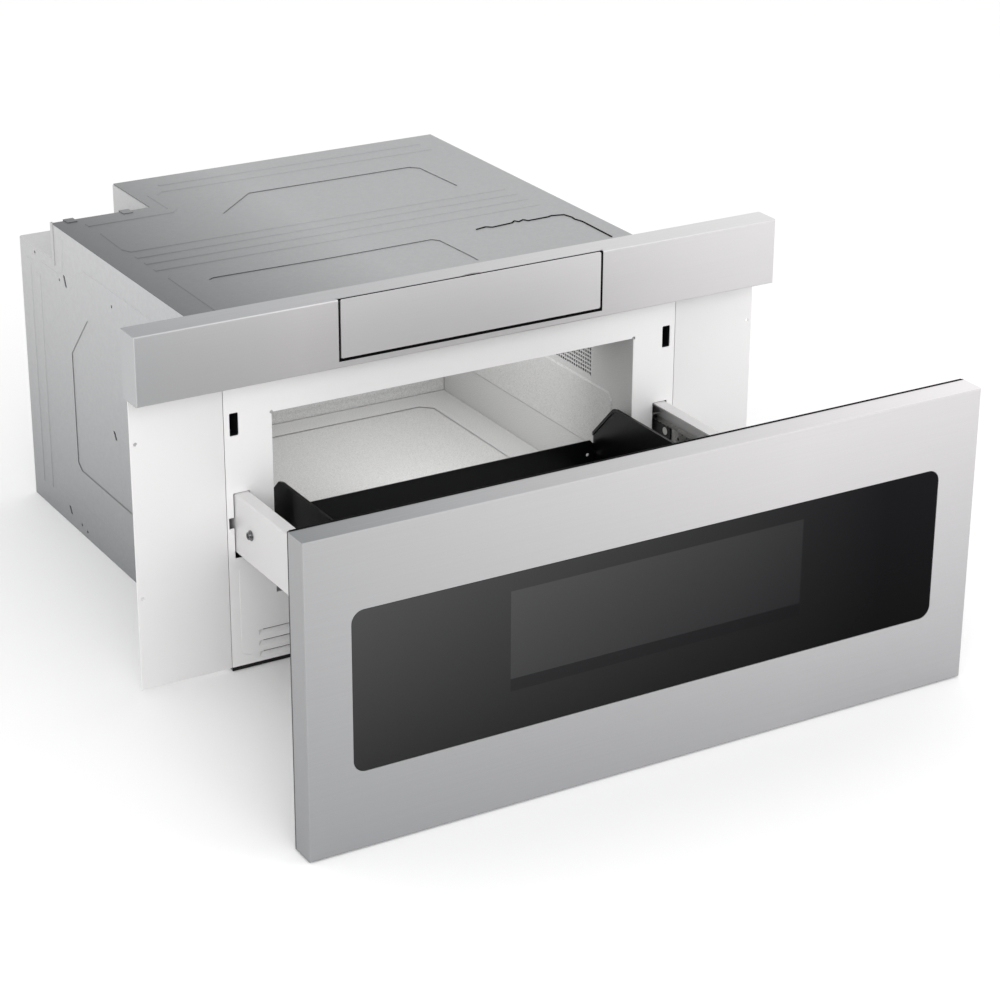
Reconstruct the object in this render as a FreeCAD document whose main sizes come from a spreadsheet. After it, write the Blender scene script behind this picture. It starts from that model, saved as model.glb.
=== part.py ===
"""A 30 inch built-in microwave drawer, built piece by piece at its real size.

Frame: the origin is the middle of the front edge of the casing's underside.
+X is to the right as one faces the front, +Y goes back into the cabinet and
+Z is up.  The pieces stand as photographed, with the drawer pulled out.
Lengths are in millimetres.
"""
import FreeCAD, Part
import math
import os
import Sketcher
from FreeCAD import Placement, Rotation, Vector

SIZES = {
    # control bar and drawer front, the two stainless pieces one sees when shut
    "front_width": 762.0,
    "bar_bottom": 329.0,
    "bar_height": 73.5,
    "bar_depth": 32.0,
    "front_gap": 4.0,
    "drawer_front_height": 323.5,
    "drawer_front_depth": 30.0,
    "stainless": 1.2,
    "front_edge_radius": 1.5,
    # drawer travel
    "open_distance": 361.0,
    "closed_gap": 2.0,
    # casing
    "casing_width": 546.0,
    "casing_depth": 551.0,
    "casing_top": 368.5,
    "casing_sheet": 1.2,
    "emboss_height": 0.7,
    "emboss_slope": 55.0,
    "recess_width": 120.0,
    "recess_depth": 102.0,
    "recess_floor": 324.0,
    # front plate and the flanges that are screwed to the cabinet
    "front_bottom": 4.5,
    "front_plate_width": 547.2,
    "flange_span": 753.0,
    "flange_sheet": 1.6,
    "flange_return": 30.0,
    "flange_gap": 0.8,
    "mounting_hole_radius": 2.2,
    "mounting_hole_inset": 5.7,
    "mounting_hole_low": 107.2,
    "mounting_hole_pitch": 170.2,
    "louvre_top": 41.2,
    "louvre_pitch": 12.7,
    "louvre_height": 6.5,
    "louvre_depth": 3.0,
    "louvre_reach": 242.0,
    "louvre_length": 76.0,
    # oven cavity
    "cavity_width": 440.0,
    "cavity_depth": 423.0,
    "cavity_floor": 80.0,
    "cavity_height": 205.0,
    "opening_lip": 2.0,
    "liner_sheet": 1.0,
    "feed_opening": 150.0,
    "feed_centre": 210.0,
    "vent_front": 85.0,
    "vent_length": 86.0,
    "vent_bottom": 211.0,
    "vent_height": 48.0,
    "cavity_bead_height": 1.4,
    # microwave feed and its power supply
    "waveguide_height": 26.0,
    "waveguide_width": 96.0,
    "waveguide_end": 515.0,
    "antenna_centre": 485.0,
    "stirrer_radius": 66.0,
    "stirrer_shaft_radius": 3.0,
    "magnetron_width": 90.0,
    "magnetron_height": 118.0,
    "fan_bore_radius": 46.0,
    "fan_frame": 100.0,
    "fan_depth": 30.0,
    "fan_tip_clearance": 3.0,
    "fan_shaft_radius": 2.5,
    # drawer shell
    "glass_width": 668.0,
    "glass_height": 165.0,
    "glass_rise": 80.5,
    "glass_corner": 13.0,
    "glass_thickness": 4.0,
    "glass_clearance": 0.5,
    "window_width": 336.0,
    "window_height": 105.0,
    "window_rise": 42.0,
    "inner_panel": 2.0,
    "seal_thickness": 1.4,
    # basket and tray
    "basket_clearance": 12.7,
    "basket_wall": 1.5,
    "basket_lift": 12.0,
    "basket_top": 199.3,
    "basket_hem": 3.0,
    "basket_rear_clearance": 8.0,
    "rear_panel_height": 55.0,
    "ear_slope_length": 36.0,
    "ear_slope_drop": 43.0,
    "tray_thickness": 5.0,
    # arms and telescopic slides
    "arm_inset": 8.4,
    "arm_sheet": 1.6,
    "arm_bottom": 136.0,
    "arm_height": 65.3,
    "arm_bend": 2.4,
    "arm_flange": 15.6,
    "arm_tail": 48.0,
    "slide_level": 169.0,
    "slide_length": 400.0,
    "slide_front": 3.0,
    "fixed_rail_height": 38.0,
    "rail_thickness": 1.3,
    "roller_radius": 2.3,
    "roller_clearance": 0.1,
    "cage_thickness": 1.0,
    "cage_clearance": 0.3,
    "slide_depth": 14.0,
    # latches and interlocks
    "latch_inset": 10.5,
    "latch_level": 277.5,
    "hook_width": 5.0,
    "hook_length": 35.0,
    "latch_slot_width": 10.0,
    "latch_slot_height": 25.0,
    "plunger_gap": 0.3,
    "plunger_radius": 2.8,
    # rack drive under the cavity
    "gear_module": 2.0,
    "pinion_teeth": 18.0,
    "pinion_depth": 40.0,
    "pinion_level": 28.0,
    "gear_width": 12.0,
    "rack_centre": 150.0,
    "rack_height": 16.0,
    "gear_backlash": 0.35,
    "drive_shaft_radius": 4.0,
    # control flap in the bar
    "flap_width": 310.0,
    "flap_side_gap": 2.8,
    "flap_bottom_gap": 3.4,
    "flap_sill": 6.8,
    "flap_top_drop": 0.5,
    "flap_top_opening": 3.8,
    "flap_return": 5.0,
    "flap_axis_depth": 4.0,
    "flap_axis_rise": 1.8,
    "hinge_pin_radius": 2.0,
    "bore_clearance": 0.08,
}


class Length:
    """A length that carries its number and its formula in the sheet."""

    def __init__(self, number, formula):
        self.number = float(number)
        self.formula = formula

    def __add__(self, other):
        return combine(self, "+", other, self.number + number_of(other))

    def __sub__(self, other):
        return combine(self, "-", other, self.number - number_of(other))

    def __mul__(self, other):
        return combine(self, "*", other, self.number * number_of(other))

    def __truediv__(self, other):
        return combine(self, "/", other, self.number / number_of(other))

    def __radd__(self, other):
        return combine(other, "+", self, number_of(other) + self.number)

    def __rsub__(self, other):
        return combine(other, "-", self, number_of(other) - self.number)

    def __rmul__(self, other):
        return combine(other, "*", self, number_of(other) * self.number)

    def __neg__(self):
        return Length(-self.number, "(0 - %s)" % self.formula)


def number_of(value):
    """Return the number of a Length or of a plain number."""
    return value.number if isinstance(value, Length) else float(value)


def formula_of(value):
    """Return the formula of a Length or of a plain number."""
    return value.formula if isinstance(value, Length) else "%.6f" % value


def combine(left, sign, right, number):
    """Return the Length that an arithmetic sign makes of two values."""
    return Length(number, "(%s %s %s)" % (formula_of(left), sign, formula_of(right)))


class Dimensions:
    """The spreadsheet of driving dimensions, read by name."""

    def __init__(self, document):
        sheet = document.addObject("Spreadsheet::Sheet", "Sizes")
        for row, (name, number) in enumerate(SIZES.items(), start=1):
            sheet.set("A%d" % row, name)
            sheet.set("B%d" % row, str(number))
            sheet.setAlias("B%d" % row, name)
        document.recompute()

    def __getattr__(self, name):
        return Length(SIZES[name], "Sizes." + name)


doc = FreeCAD.newDocument("MicrowaveDrawer")
D = Dimensions(doc)
NODES = {}

AXES = ("x", "y", "z")
SIDES = {"left": -1, "right": 1}
ROTATIONS = {
    "x": Rotation(Vector(0, 1, 0), 90),
    "y": Rotation(Vector(1, 0, 0), -90),
    "z": Rotation(),
}

# ------------------------------------------------------------------ helpers


def bind(thing, path, value):
    """Bind one property of an object to a formula."""
    thing.setExpression(path, formula_of(value))


def keep(name, thing):
    """Name an object as a finished sub-part."""
    thing.Label = name
    NODES[name] = thing
    return thing


def box(x, y, z):
    """Return a box between low and high on each axis."""
    thing = doc.addObject("Part::Box", "Block")
    for axis, side, (low, high) in zip(AXES, ("Length", "Width", "Height"), (x, y, z)):
        bind(thing, "Placement.Base." + axis, low)
        bind(thing, side, high - low)
    return thing


def rod(axis, span, centre, radius):
    """Return a cylinder along an axis; centre is on the other two axes in order."""
    thing = doc.addObject("Part::Cylinder", "Round")
    thing.Placement = Placement(Vector(), ROTATIONS[axis])
    bind(thing, "Radius", radius)
    bind(thing, "Height", span[1] - span[0])
    others = [name for name in AXES if name != axis]
    bind(thing, "Placement.Base." + axis, span[0])
    for name, value in zip(others, centre):
        bind(thing, "Placement.Base." + name, value)
    return thing


def peg(axis, span, centre, radius, sides=10):
    """Return a small round piece along an axis, drawn as a prism with flat sides."""
    thing = doc.addObject("Part::Prism", "Peg")
    thing.Placement = Placement(Vector(), ROTATIONS[axis])
    thing.Polygon = sides
    bind(thing, "Circumradius", radius)
    bind(thing, "Height", span[1] - span[0])
    others = [name for name in AXES if name != axis]
    bind(thing, "Placement.Base." + axis, span[0])
    for name, value in zip(others, centre):
        bind(thing, "Placement.Base." + name, value)
    return thing


def wedge(x, y, z, far_x, far_z):
    """Return a block that narrows from one rectangle in front to another behind it."""
    thing = doc.addObject("Part::Wedge", "Wedge")
    spans = (("X%s", x), ("Y%s", y), ("Z%s", z), ("X2%s", far_x), ("Z2%s", far_z))
    for name, (low, high) in spans:
        bind(thing, name % "max", high)
        bind(thing, name % "min", low)
    return thing


def fuse(*things):
    """Join several objects into one."""
    things = [thing for thing in things if thing is not None]
    if len(things) == 1:
        return things[0]
    joined = doc.addObject("Part::MultiFuse", "Joined")
    joined.Shapes = list(things)
    joined.Refine = True
    return joined


def cut(base, *tools):
    """Take tools away from a base."""
    result = doc.addObject("Part::Cut", "Trimmed")
    result.Base = base
    result.Tool = fuse(*tools)
    result.Refine = True
    return result


def group(*things):
    """Keep several separate solids in one sub-part."""
    result = doc.addObject("Part::Compound", "Group")
    result.Links = list(things)
    return result


def along(axis):
    """Return a test that an edge runs along an axis."""
    direction = Vector(*[1.0 if name == axis else 0.0 for name in AXES])
    return lambda start, end: abs(abs((end - start).normalize().dot(direction)) - 1) < 1e-6


def lies_on(**places):
    """Return a test that both ends of an edge lie at a place on each named axis."""
    def test(start, end):
        return all(abs(getattr(point, axis) - number_of(place)) < 1e-6
                   for point in (start, end) for axis, place in places.items())
    return test


def rounded(thing, radius, wanted):
    """Round those edges of a solid whose two ends pass a test."""
    doc.recompute()
    result = doc.addObject("Part::Fillet", "Rounded")
    result.Base = thing
    size = number_of(radius)
    chosen = []
    for index, edge in enumerate(thing.Shape.Edges, start=1):
        ends = [vertex.Point for vertex in edge.Vertexes]
        if len(ends) == 2 and wanted(*ends):
            chosen.append((index, size, size))
    result.Edges = chosen
    return result


def across(side, low, high):
    """Return the X span of a piece that lies between two distances from the middle."""
    return (low, high) if side > 0 else (-high, -low)


PLANES = {"x": "YZ_Plane", "y": "XZ_Plane", "z": "XY_Plane"}


def draw(sketch, outline):
    """Draw one closed outline, each corner held by its two distances."""
    first = sketch.GeometryCount
    count = len(outline)
    corners = [Vector(number_of(a), number_of(b), 0) for a, b in outline]
    for index, corner in enumerate(corners):
        sketch.addGeometry(Part.LineSegment(corner, corners[(index + 1) % count]), False)
    for index in range(count):
        following = first + (index + 1) % count
        sketch.addConstraint(Sketcher.Constraint("Coincident", first + index, 2, following, 1))
    for index, (a, b) in enumerate(outline):
        for kind, value in (("DistanceX", a), ("DistanceY", b)):
            limit = Sketcher.Constraint(kind, -1, 1, first + index, 1, number_of(value))
            number = sketch.addConstraint(limit)
            if isinstance(value, Length):
                sketch.setExpression("Constraints[%d]" % number, value.formula)


def padded(axis, start, length, outlines, forward=True):
    """Return a new body and its pad, drawn on a plane square to an axis."""
    body = doc.addObject("PartDesign::Body", "Body")
    sketch = body.newObject("Sketcher::SketchObject", "Outline")
    plane = [part for part in body.Origin.OriginFeatures if part.Role == PLANES[axis]][0]
    sketch.AttachmentSupport = (plane, [""])
    sketch.MapMode = "FlatFace"
    for outline in outlines:
        draw(sketch, outline)
    pad = body.newObject("PartDesign::Pad", "Pad")
    pad.Profile = sketch
    bind(pad, "Length", length)
    pad.Reversed = (axis == "y") == forward
    bind(body, "Placement.Base." + axis, start)
    return body, pad


def prism(axis, span, *outlines):
    """Return a body padded along an axis from a sketch of one or more outlines."""
    return padded(axis, span[0], span[1] - span[0], outlines)[0]


def pressing(axis, face, outward, height, *outlines):
    """Return a pressed band that rises from a sheet's face with sloping sides."""
    body, pad = padded(axis, face, height, outlines, outward > 0)
    bind(pad, "TaperAngle", -D.emboss_slope)
    return body


def strip(path, half_width):
    """Return the outline of a band of one width that follows an open path."""
    points = [Vector(number_of(a), number_of(b), 0) for a, b in path]
    half = number_of(half_width)
    runs = [(end - start).normalize() for start, end in zip(points, points[1:])]
    sides = [Vector(-run.y, run.x, 0) for run in runs]
    left, right = [], []
    for index, point in enumerate(points):
        before = sides[max(index - 1, 0)]
        after = sides[min(index, len(sides) - 1)]
        middle = (before + after).normalize()
        reach = middle * (half / middle.dot(after))
        left.append((point.x + reach.x, point.y + reach.y))
        right.append((point.x - reach.x, point.y - reach.y))
    return left + right[::-1]


def shape_feature(shape):
    """Return a plain feature that holds a worked-out shape."""
    thing = doc.addObject("Part::Feature", "Form")
    thing.Shape = shape
    return thing


def polygon_prism(axis, points, low, high):
    """Return the shape of a polygon extruded along an axis between two numbers."""
    if axis == "x":
        corners = [Vector(low, a, b) for a, b in points]
        run = Vector(high - low, 0, 0)
    elif axis == "y":
        corners = [Vector(a, low, b) for a, b in points]
        run = Vector(0, high - low, 0)
    else:
        corners = [Vector(a, b, low) for a, b in points]
        run = Vector(0, 0, high - low)
    return Part.Face(Part.makePolygon(corners + corners[:1])).extrude(run)


# ------------------------------------------------- places that pieces share

casing_half = D.casing_width / 2
casing_inner = casing_half - D.casing_sheet
top_underside = D.casing_top - D.casing_sheet
rear_inner = D.casing_depth - D.casing_sheet
recess_wall = -(casing_half - D.recess_width)
recess_front = D.casing_depth - D.recess_depth

front_half = D.front_width / 2
bar_top = D.bar_bottom + D.bar_height
bar_front = -D.bar_depth

drawer_back = -D.open_distance
drawer_face = drawer_back - D.drawer_front_depth
drawer_top = D.bar_bottom - D.front_gap
drawer_bottom = drawer_top - D.drawer_front_height
travel = D.open_distance - D.closed_gap

cavity_half = D.cavity_width / 2
liner_half = cavity_half + D.liner_sheet
cavity_ceiling = D.cavity_floor + D.cavity_height
liner_top = cavity_ceiling + D.liner_sheet
liner_bottom = D.cavity_floor - D.liner_sheet
liner_rear = D.cavity_depth + D.liner_sheet
opening_top = cavity_ceiling - D.opening_lip

arm_outer = casing_half - D.arm_inset
arm_inner = arm_outer - D.arm_sheet
arm_top = D.arm_bottom + D.arm_height
arm_flange_inner = arm_outer - D.arm_flange

latch_middle = casing_half - D.latch_inset

pinion_radius = D.gear_module * D.pinion_teeth / 2
rack_pitch_line = D.pinion_level + pinion_radius
rack_top = rack_pitch_line + D.rack_height - 2

basket_half = cavity_half - D.basket_clearance
basket_bottom = D.cavity_floor + D.basket_lift
basket_length = D.cavity_depth - D.basket_rear_clearance + D.closed_gap
basket_rear = drawer_back + basket_length

flap_half = D.flap_width / 2
flap_opening_half = flap_half + D.flap_side_gap
flap_opening_bottom = D.bar_bottom + D.flap_sill
flap_bottom = flap_opening_bottom + D.flap_bottom_gap
flap_top = bar_top - D.flap_top_drop
flap_axis_y = bar_front + D.flap_axis_depth
flap_axis_z = flap_bottom + D.flap_axis_rise

# ------------------------------------------------------------------- casing


def chamfered(left, right, front, rear, corner):
    """Return a rectangle with its four corners cut off."""
    return [
        (left + corner, front), (right - corner, front), (right, front + corner),
        (right, rear - corner), (right - corner, rear), (left + corner, rear),
        (left, rear - corner), (left, front + corner),
    ]


def make_base_pan():
    """Make the floor of the casing with its front lip and two stiffening ribs."""
    sheet = D.casing_sheet
    floor = box((-casing_half, casing_half), (sheet, D.casing_depth), (0, sheet))
    lip_height = 8.0
    lip = box((-casing_inner, casing_inner), (sheet, sheet * 2), (sheet, lip_height))
    rib_reach = 95.0
    rib_width = 24.0
    rib_height = 5.0
    ribs = []
    for side in SIDES.values():
        span = across(side, rib_reach, rib_reach + rib_width)
        if side > 0:
            span = (casing_inner - rib_width - 20, casing_inner - 20)
        ribs.append(box(span, (90, recess_front - 40), (sheet, rib_height)))
    keep("base_pan", fuse(floor, lip, *ribs))


def make_base_strip():
    """Make the black foam strip under the front plate."""
    strip_clearance = 0.3
    front = (0, D.casing_sheet)
    reach = (-D.front_plate_width / 2, D.front_plate_width / 2)
    keep("base_strip", box(reach, front, (strip_clearance, D.front_bottom)))


def side_emboss(side):
    """Return the raised band and the beads of a side panel."""
    face = side * casing_half
    band_rear = recess_front + 21
    band_front = 60.0
    outer = [
        (band_front, 41), (band_rear - 14, 41), (band_rear, 50), (band_rear, 232),
        (band_rear - 4, 239), (band_rear - 100, 332), (band_rear - 110, 337.5), (band_front, 337.5),
    ]
    inner_rear = recess_front - 42
    inner_front = 100.0
    inner = [
        (inner_front, 83), (inner_rear - 11, 83), (inner_rear, 91), (inner_rear, 226),
        (inner_rear - 52, 281), (inner_rear - 76, 286), (inner_front, 286),
    ]
    beads = [
        strip([(D.casing_depth - 26, 26), (D.casing_depth - 25, 305)], 6.5),
        strip([(D.casing_depth - 53, 28), (D.casing_depth - 53, 294)], 6.5),
        strip([(recess_front - 12, 309.5), (recess_front + 38, 309.5)], 3.0),
        strip([(recess_front - 23, 316), (recess_front - 27, 357)], 4.5),
    ]
    raised = [pressing("x", face, side, D.emboss_height, outer, inner)]
    for bead in beads:
        raised.append(pressing("x", face, side, D.emboss_height, bead))
    return raised


def side_holes(side):
    """Return the small holes and slanted slots that are punched in a side panel."""
    span = across(side, casing_inner - 1, casing_half + 3)
    hole_radius = 2.0
    holes = []
    for depth, level in ((505, 317), (433, 305), (281, 319.4), (407, 11.7), (391, 9)):
        holes.append(peg("x", span, (depth, level), hole_radius, 8))
    slot_half = 2.6
    slant = 2.8
    for depth, level, rise in ((416.4, 308, 13.0), (291.3, 164.5, 9.5), (440, 18.7, 9.0)):
        top = level + rise / 2
        bottom = level - rise / 2
        outline = [(depth + slant - slot_half, top), (depth + slant + slot_half, top),
                   (depth - slant + slot_half, bottom), (depth - slant - slot_half, bottom)]
        holes.append(prism("x", span, outline))
    return holes


def make_side_panels():
    """Make the two sides; the left one is notched for the cord recess."""
    sheet = D.casing_sheet
    left_outline = [
        (sheet, sheet), (D.casing_depth, sheet), (D.casing_depth, D.recess_floor - sheet),
        (recess_front, D.recess_floor - sheet), (recess_front, top_underside),
        (sheet, top_underside),
    ]
    right_outline = [
        (sheet, sheet), (D.casing_depth, sheet), (D.casing_depth, top_underside),
        (sheet, top_underside),
    ]
    for name, outline in (("left", left_outline), ("right", right_outline)):
        side = SIDES[name]
        panel = prism("x", across(side, casing_inner, casing_half), outline)
        raised = fuse(panel, *side_emboss(side))
        keep(name + "_side_panel", cut(raised, *side_holes(side)))


def top_emboss():
    """Return the raised bands and the beads of the top panel."""
    left = -casing_half
    right = casing_half
    rear = D.casing_depth
    outer = [
        (left + 29, 317), (left + 35, 305), (right - 37, 304), (right - 34, 312),
        (right - 34, rear - 93), (right - 45, rear - 83), (-51, rear - 84), (-66, rear - 97),
        (-118, recess_front - 48), (-128, recess_front - 58), (left + 37, recess_front - 61),
        (left + 31, recess_front - 67),
    ]
    inner = [
        (-32, rear - 112), (-92, 382), (-96, 342), (-91, 331), (-82, 328), (184, 331),
        (195, 344), (191, rear - 122), (181, rear - 112),
    ]
    front_outer = [
        (left + 33, 70), (right - 19, 70), (right - 18, 211), (right - 25, 216),
        (left + 40, 213), (left + 34, 205),
    ]
    front_inner = [
        (-207, 108), (-201, 98), (-150, 92), (79, 92), (79, 110), (76, 175), (69, 183),
        (-58, 181), (-196, 184), (-204, 180),
    ]
    bands = [(outer, inner), (front_outer, front_inner)]
    bead_half = 3.5
    for middle in (285.0, 261.0, 236.0):
        bands.append([strip([(left + 32, middle), (right - 33, middle)], bead_half)])
    jog_path = [
        (left + 30, recess_front - 31.5), (recess_wall + 13, recess_front - 30.5),
        (recess_wall + 19.5, recess_front - 23), (recess_wall + 19.5, rear - 67),
        (recess_wall + 33.5, rear - 54), (right - 31, rear - 55),
    ]
    bands.append([strip(jog_path, 5.5)])
    bands.append([strip([(recess_wall + 42, rear - 33), (right - 33, rear - 31)], 2.5)])
    return [pressing("z", D.casing_top, 1, D.emboss_height, *band) for band in bands]


def make_top_panel():
    """Make the embossed top, cut back at the cord recess."""
    cover_gap = 3.2
    outline = [
        (-casing_half, D.casing_sheet), (casing_half, D.casing_sheet),
        (casing_half, D.casing_depth), (recess_wall, D.casing_depth),
        (recess_wall, recess_front - cover_gap), (-casing_half, recess_front - cover_gap),
    ]
    sheet = prism("z", (top_underside, D.casing_top), outline)
    keep("top_panel", fuse(sheet, *top_emboss()))


def make_rear_panel():
    """Make the back with its fan slots, cut down behind the recess."""
    sheet = D.casing_sheet
    outline = [
        (-casing_inner, sheet), (casing_inner, sheet), (casing_inner, top_underside),
        (recess_wall - sheet, top_underside), (recess_wall - sheet, D.recess_floor),
        (-casing_inner, D.recess_floor),
    ]
    panel = prism("y", (rear_inner, D.casing_depth), outline)
    slots = []
    slot_width = 5.0
    slot_pitch = 14.0
    for row in range(2):
        bottom = 190.0 + 50 * row
        for column in range(12):
            left = -120 + slot_pitch * column
            slots.append(box((left, left + slot_width), (rear_inner - 1, D.casing_depth + 1),
                             (bottom, bottom + 38)))
    keep("rear_panel", cut(panel, *slots))


def make_rear_screws():
    """Make the hexagonal washer-head screws that hold the back."""
    head_across = 4.0
    washer_radius = 5.0
    washer_thickness = 1.0
    head_height = 3.5
    screws = []
    for level in (20.0, 165.0, 310.0):
        for side in SIDES.values():
            middle = (side * (casing_half - 12), level)
            washer = peg("y", (D.casing_depth, D.casing_depth + washer_thickness), middle,
                         washer_radius, 12)
            head = peg("y", (D.casing_depth, D.casing_depth + head_height), middle,
                       head_across, 6)
            screws.append(fuse(washer, head))
    keep("rear_panel_screws", group(*screws))


bushing_x = recess_wall - D.recess_width / 2
bushing_z = (D.recess_floor + D.casing_top) / 2
bushing_radius = 11.0
bushing_sides = 20
cord_radius = 6.0


def make_recess():
    """Make the folded cover of the cord recess, its bushing and its two clips."""
    sheet = D.casing_sheet
    shelf = box((-casing_half, recess_wall), (recess_front, rear_inner),
                (D.recess_floor - sheet, D.recess_floor))
    front_wall = box((-casing_inner, recess_wall), (recess_front - sheet, recess_front),
                     (D.recess_floor - sheet, top_underside))
    inner_wall = box((recess_wall - sheet, recess_wall), (recess_front - sheet, rear_inner),
                     (D.recess_floor - sheet, top_underside))
    hole = peg("y", (recess_front - 4, recess_front + 2), (bushing_x, bushing_z),
               bushing_radius, bushing_sides)
    leaf = 0.8
    fold_reach = 6.0
    outside = (-casing_half - leaf, -casing_half)
    fold = box(outside, (recess_front - fold_reach, recess_front + leaf),
               (D.recess_floor, D.casing_top))
    hook = box(outside, (recess_front - fold_reach, recess_front - 1),
               (D.recess_floor - 5, D.recess_floor))
    corner = box((-casing_half, -casing_inner + 1), (recess_front, recess_front + leaf),
                 (D.recess_floor, D.casing_top))
    cover = fuse(shelf, front_wall, inner_wall, corner, fold, hook)
    keep("recess_cover", cut(cover, hole))
    barrel = peg("y", (recess_front - 6, recess_front), (bushing_x, bushing_z),
                 bushing_radius - D.bore_clearance, bushing_sides)
    collar = peg("y", (recess_front, recess_front + 3), (bushing_x, bushing_z),
                 bushing_radius + 4, bushing_sides)
    bore = rod("y", (recess_front - 7, recess_front + 4), (bushing_x, bushing_z), cord_radius)
    keep("cord_inlet_bushing", cut(fuse(barrel, collar), bore))
    clip_reach = 13.0
    clip_drop = 9.0
    clips = []
    for middle, width in ((-184.0, 12.0), (-252.0, 12.0)):
        profile = [
            (recess_front - clip_reach, D.casing_top), (recess_front, D.casing_top),
            (recess_front, D.casing_top - clip_drop), (recess_front + leaf, D.casing_top - clip_drop),
            (recess_front + leaf, D.casing_top + leaf),
            (recess_front - clip_reach, D.casing_top + leaf),
        ]
        clips.append(prism("x", (middle - width / 2, middle + width / 2), profile))
    keep("cover_clips", group(*clips))


# -------------------------------------------------------------- front plate

slide_slot_inner = arm_flange_inner - 2.0
slide_slot_outer = arm_outer + 1.4
slide_slot_bottom = D.arm_bottom - 7.3
slide_slot_top = arm_top + 0.7
screw_notch_outer = slide_slot_outer + 5.6
screw_notch_half = 6.1


def louvre(side, top, start, wall=0.0):
    """Return the dish of one louvre, which slopes back from its bottom to its top edge."""
    near = D.louvre_reach - D.louvre_length
    end_slope = 5.0
    return wedge(
        across(side, near - wall, D.louvre_reach + wall), (start, start + D.louvre_depth),
        (top - D.louvre_height - wall, top + wall),
        across(side, near + end_slope - wall, D.louvre_reach - end_slope + wall),
        (top - 1.5, top + wall),
    )


def make_front_plate():
    """Make the white front plate with its opening, slots and louvres."""
    sheet = D.casing_sheet
    through = (-1, sheet + 1)
    half = D.front_plate_width / 2
    plate = box((-half, half), (0, sheet), (D.front_bottom, D.casing_top))
    slot_corner = 1.5
    relief_radius = 2.2
    groove_depth = 0.6
    groove_half = 0.7
    dish_wall = 0.8
    slit_inset = 6.0
    slit_height = 2.2
    tools = [box((-cavity_half, cavity_half), through, (D.cavity_floor, opening_top))]
    dishes = []
    for side in SIDES.values():
        tools.append(peg("y", through, (side * cavity_half, opening_top), relief_radius, 8))
        slot = box(across(side, slide_slot_inner, slide_slot_outer), through,
                   (slide_slot_bottom, slide_slot_top))
        tools.append(rounded(slot, slot_corner, along("y")))
        notch = across(side, slide_slot_outer - 1, screw_notch_outer)
        level = D.slide_level
        tools.append(box(notch, through, (level - screw_notch_half, level + screw_notch_half)))
        latch = box(across(side, latch_middle - D.latch_slot_width / 2,
                           latch_middle + D.latch_slot_width / 2), through,
                    (D.latch_level - D.latch_slot_height / 2,
                     D.latch_level + D.latch_slot_height / 2))
        tools.append(rounded(latch, slot_corner, along("y")))
        slit = across(side, D.louvre_reach - D.louvre_length + slit_inset,
                      D.louvre_reach - slit_inset)
        for step in range(3):
            top = D.louvre_top - D.louvre_pitch * step
            dishes.append(louvre(side, top, 0.2, dish_wall))
            tools.append(louvre(side, top, -0.01))
            tools.append(box(slit, (0, D.louvre_depth + 2), (top - slit_height, top)))
        groove = [(side * 262.9, 115), (side * 262.9, 24), (side * 260.4, 17.9),
                  (side * 251.5, 15.5)]
        tools.append(prism("y", (-1, groove_depth), strip(groove, groove_half)))
    rack_slot = (D.rack_centre - D.gear_width / 2 - 3, D.rack_centre + D.gear_width / 2 + 3)
    tools.append(box(rack_slot, through, (rack_pitch_line - 5, rack_top + 2)))
    keep("front_plate", cut(fuse(plate, *dishes), *tools))


def make_flanges():
    """Make the two side flanges that are screwed to the cabinet."""
    outer = D.flange_span / 2
    inner = D.front_plate_width / 2 + D.flange_gap
    sheet = D.flange_sheet
    flange_tab = 14.0
    flange_foot_top = 30.0
    flange_head_bottom = 342.0
    for name, side in SIDES.items():
        profile = [
            (inner, 0), (outer, 0), (outer, sheet), (inner + sheet, sheet),
            (inner + sheet, D.flange_return), (inner, D.flange_return),
        ]
        angle = prism("z", (D.front_bottom, D.casing_top), [(side * a, b) for a, b in profile])
        tab = (D.flange_return - flange_tab, D.flange_return)
        reach = across(side, casing_half, inner + sheet / 2)
        foot = box(reach, tab, (D.front_bottom, flange_foot_top))
        head = box(reach, tab, (flange_head_bottom, D.casing_top))
        holes = []
        for step in range(2):
            level = D.mounting_hole_low + D.mounting_hole_pitch * step
            middle = (side * (outer - D.mounting_hole_inset), level)
            holes.append(rod("y", (-1, sheet + 1), middle, D.mounting_hole_radius))
        keep(name + "_flange", cut(fuse(angle, foot, head), *holes))


# -------------------------------------------------------------- oven cavity


def cavity_pressings():
    """Return the raised frames and panels that stiffen the floor and walls of the oven box."""
    height = D.cavity_bead_height
    floor_frame = chamfered(-cavity_half, cavity_half, 30, D.cavity_depth, 2)
    floor_well = chamfered(-180, 180, 60, D.cavity_depth - 34.5, 14)
    rear_frame = chamfered(-cavity_half, cavity_half, D.cavity_floor, cavity_ceiling, 2)
    rear_well = chamfered(-204, 204, D.cavity_floor + 10, cavity_ceiling - 12, 8)
    raised = [
        pressing("z", D.cavity_floor, 1, height, floor_frame, floor_well),
        pressing("y", D.cavity_depth, -1, height, rear_frame, rear_well),
    ]
    for side in SIDES.values():
        panel = chamfered(40, D.cavity_depth - 23, 128, 204.5, 8)
        raised.append(pressing("x", side * cavity_half, -side, height, panel))
    return raised


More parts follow.
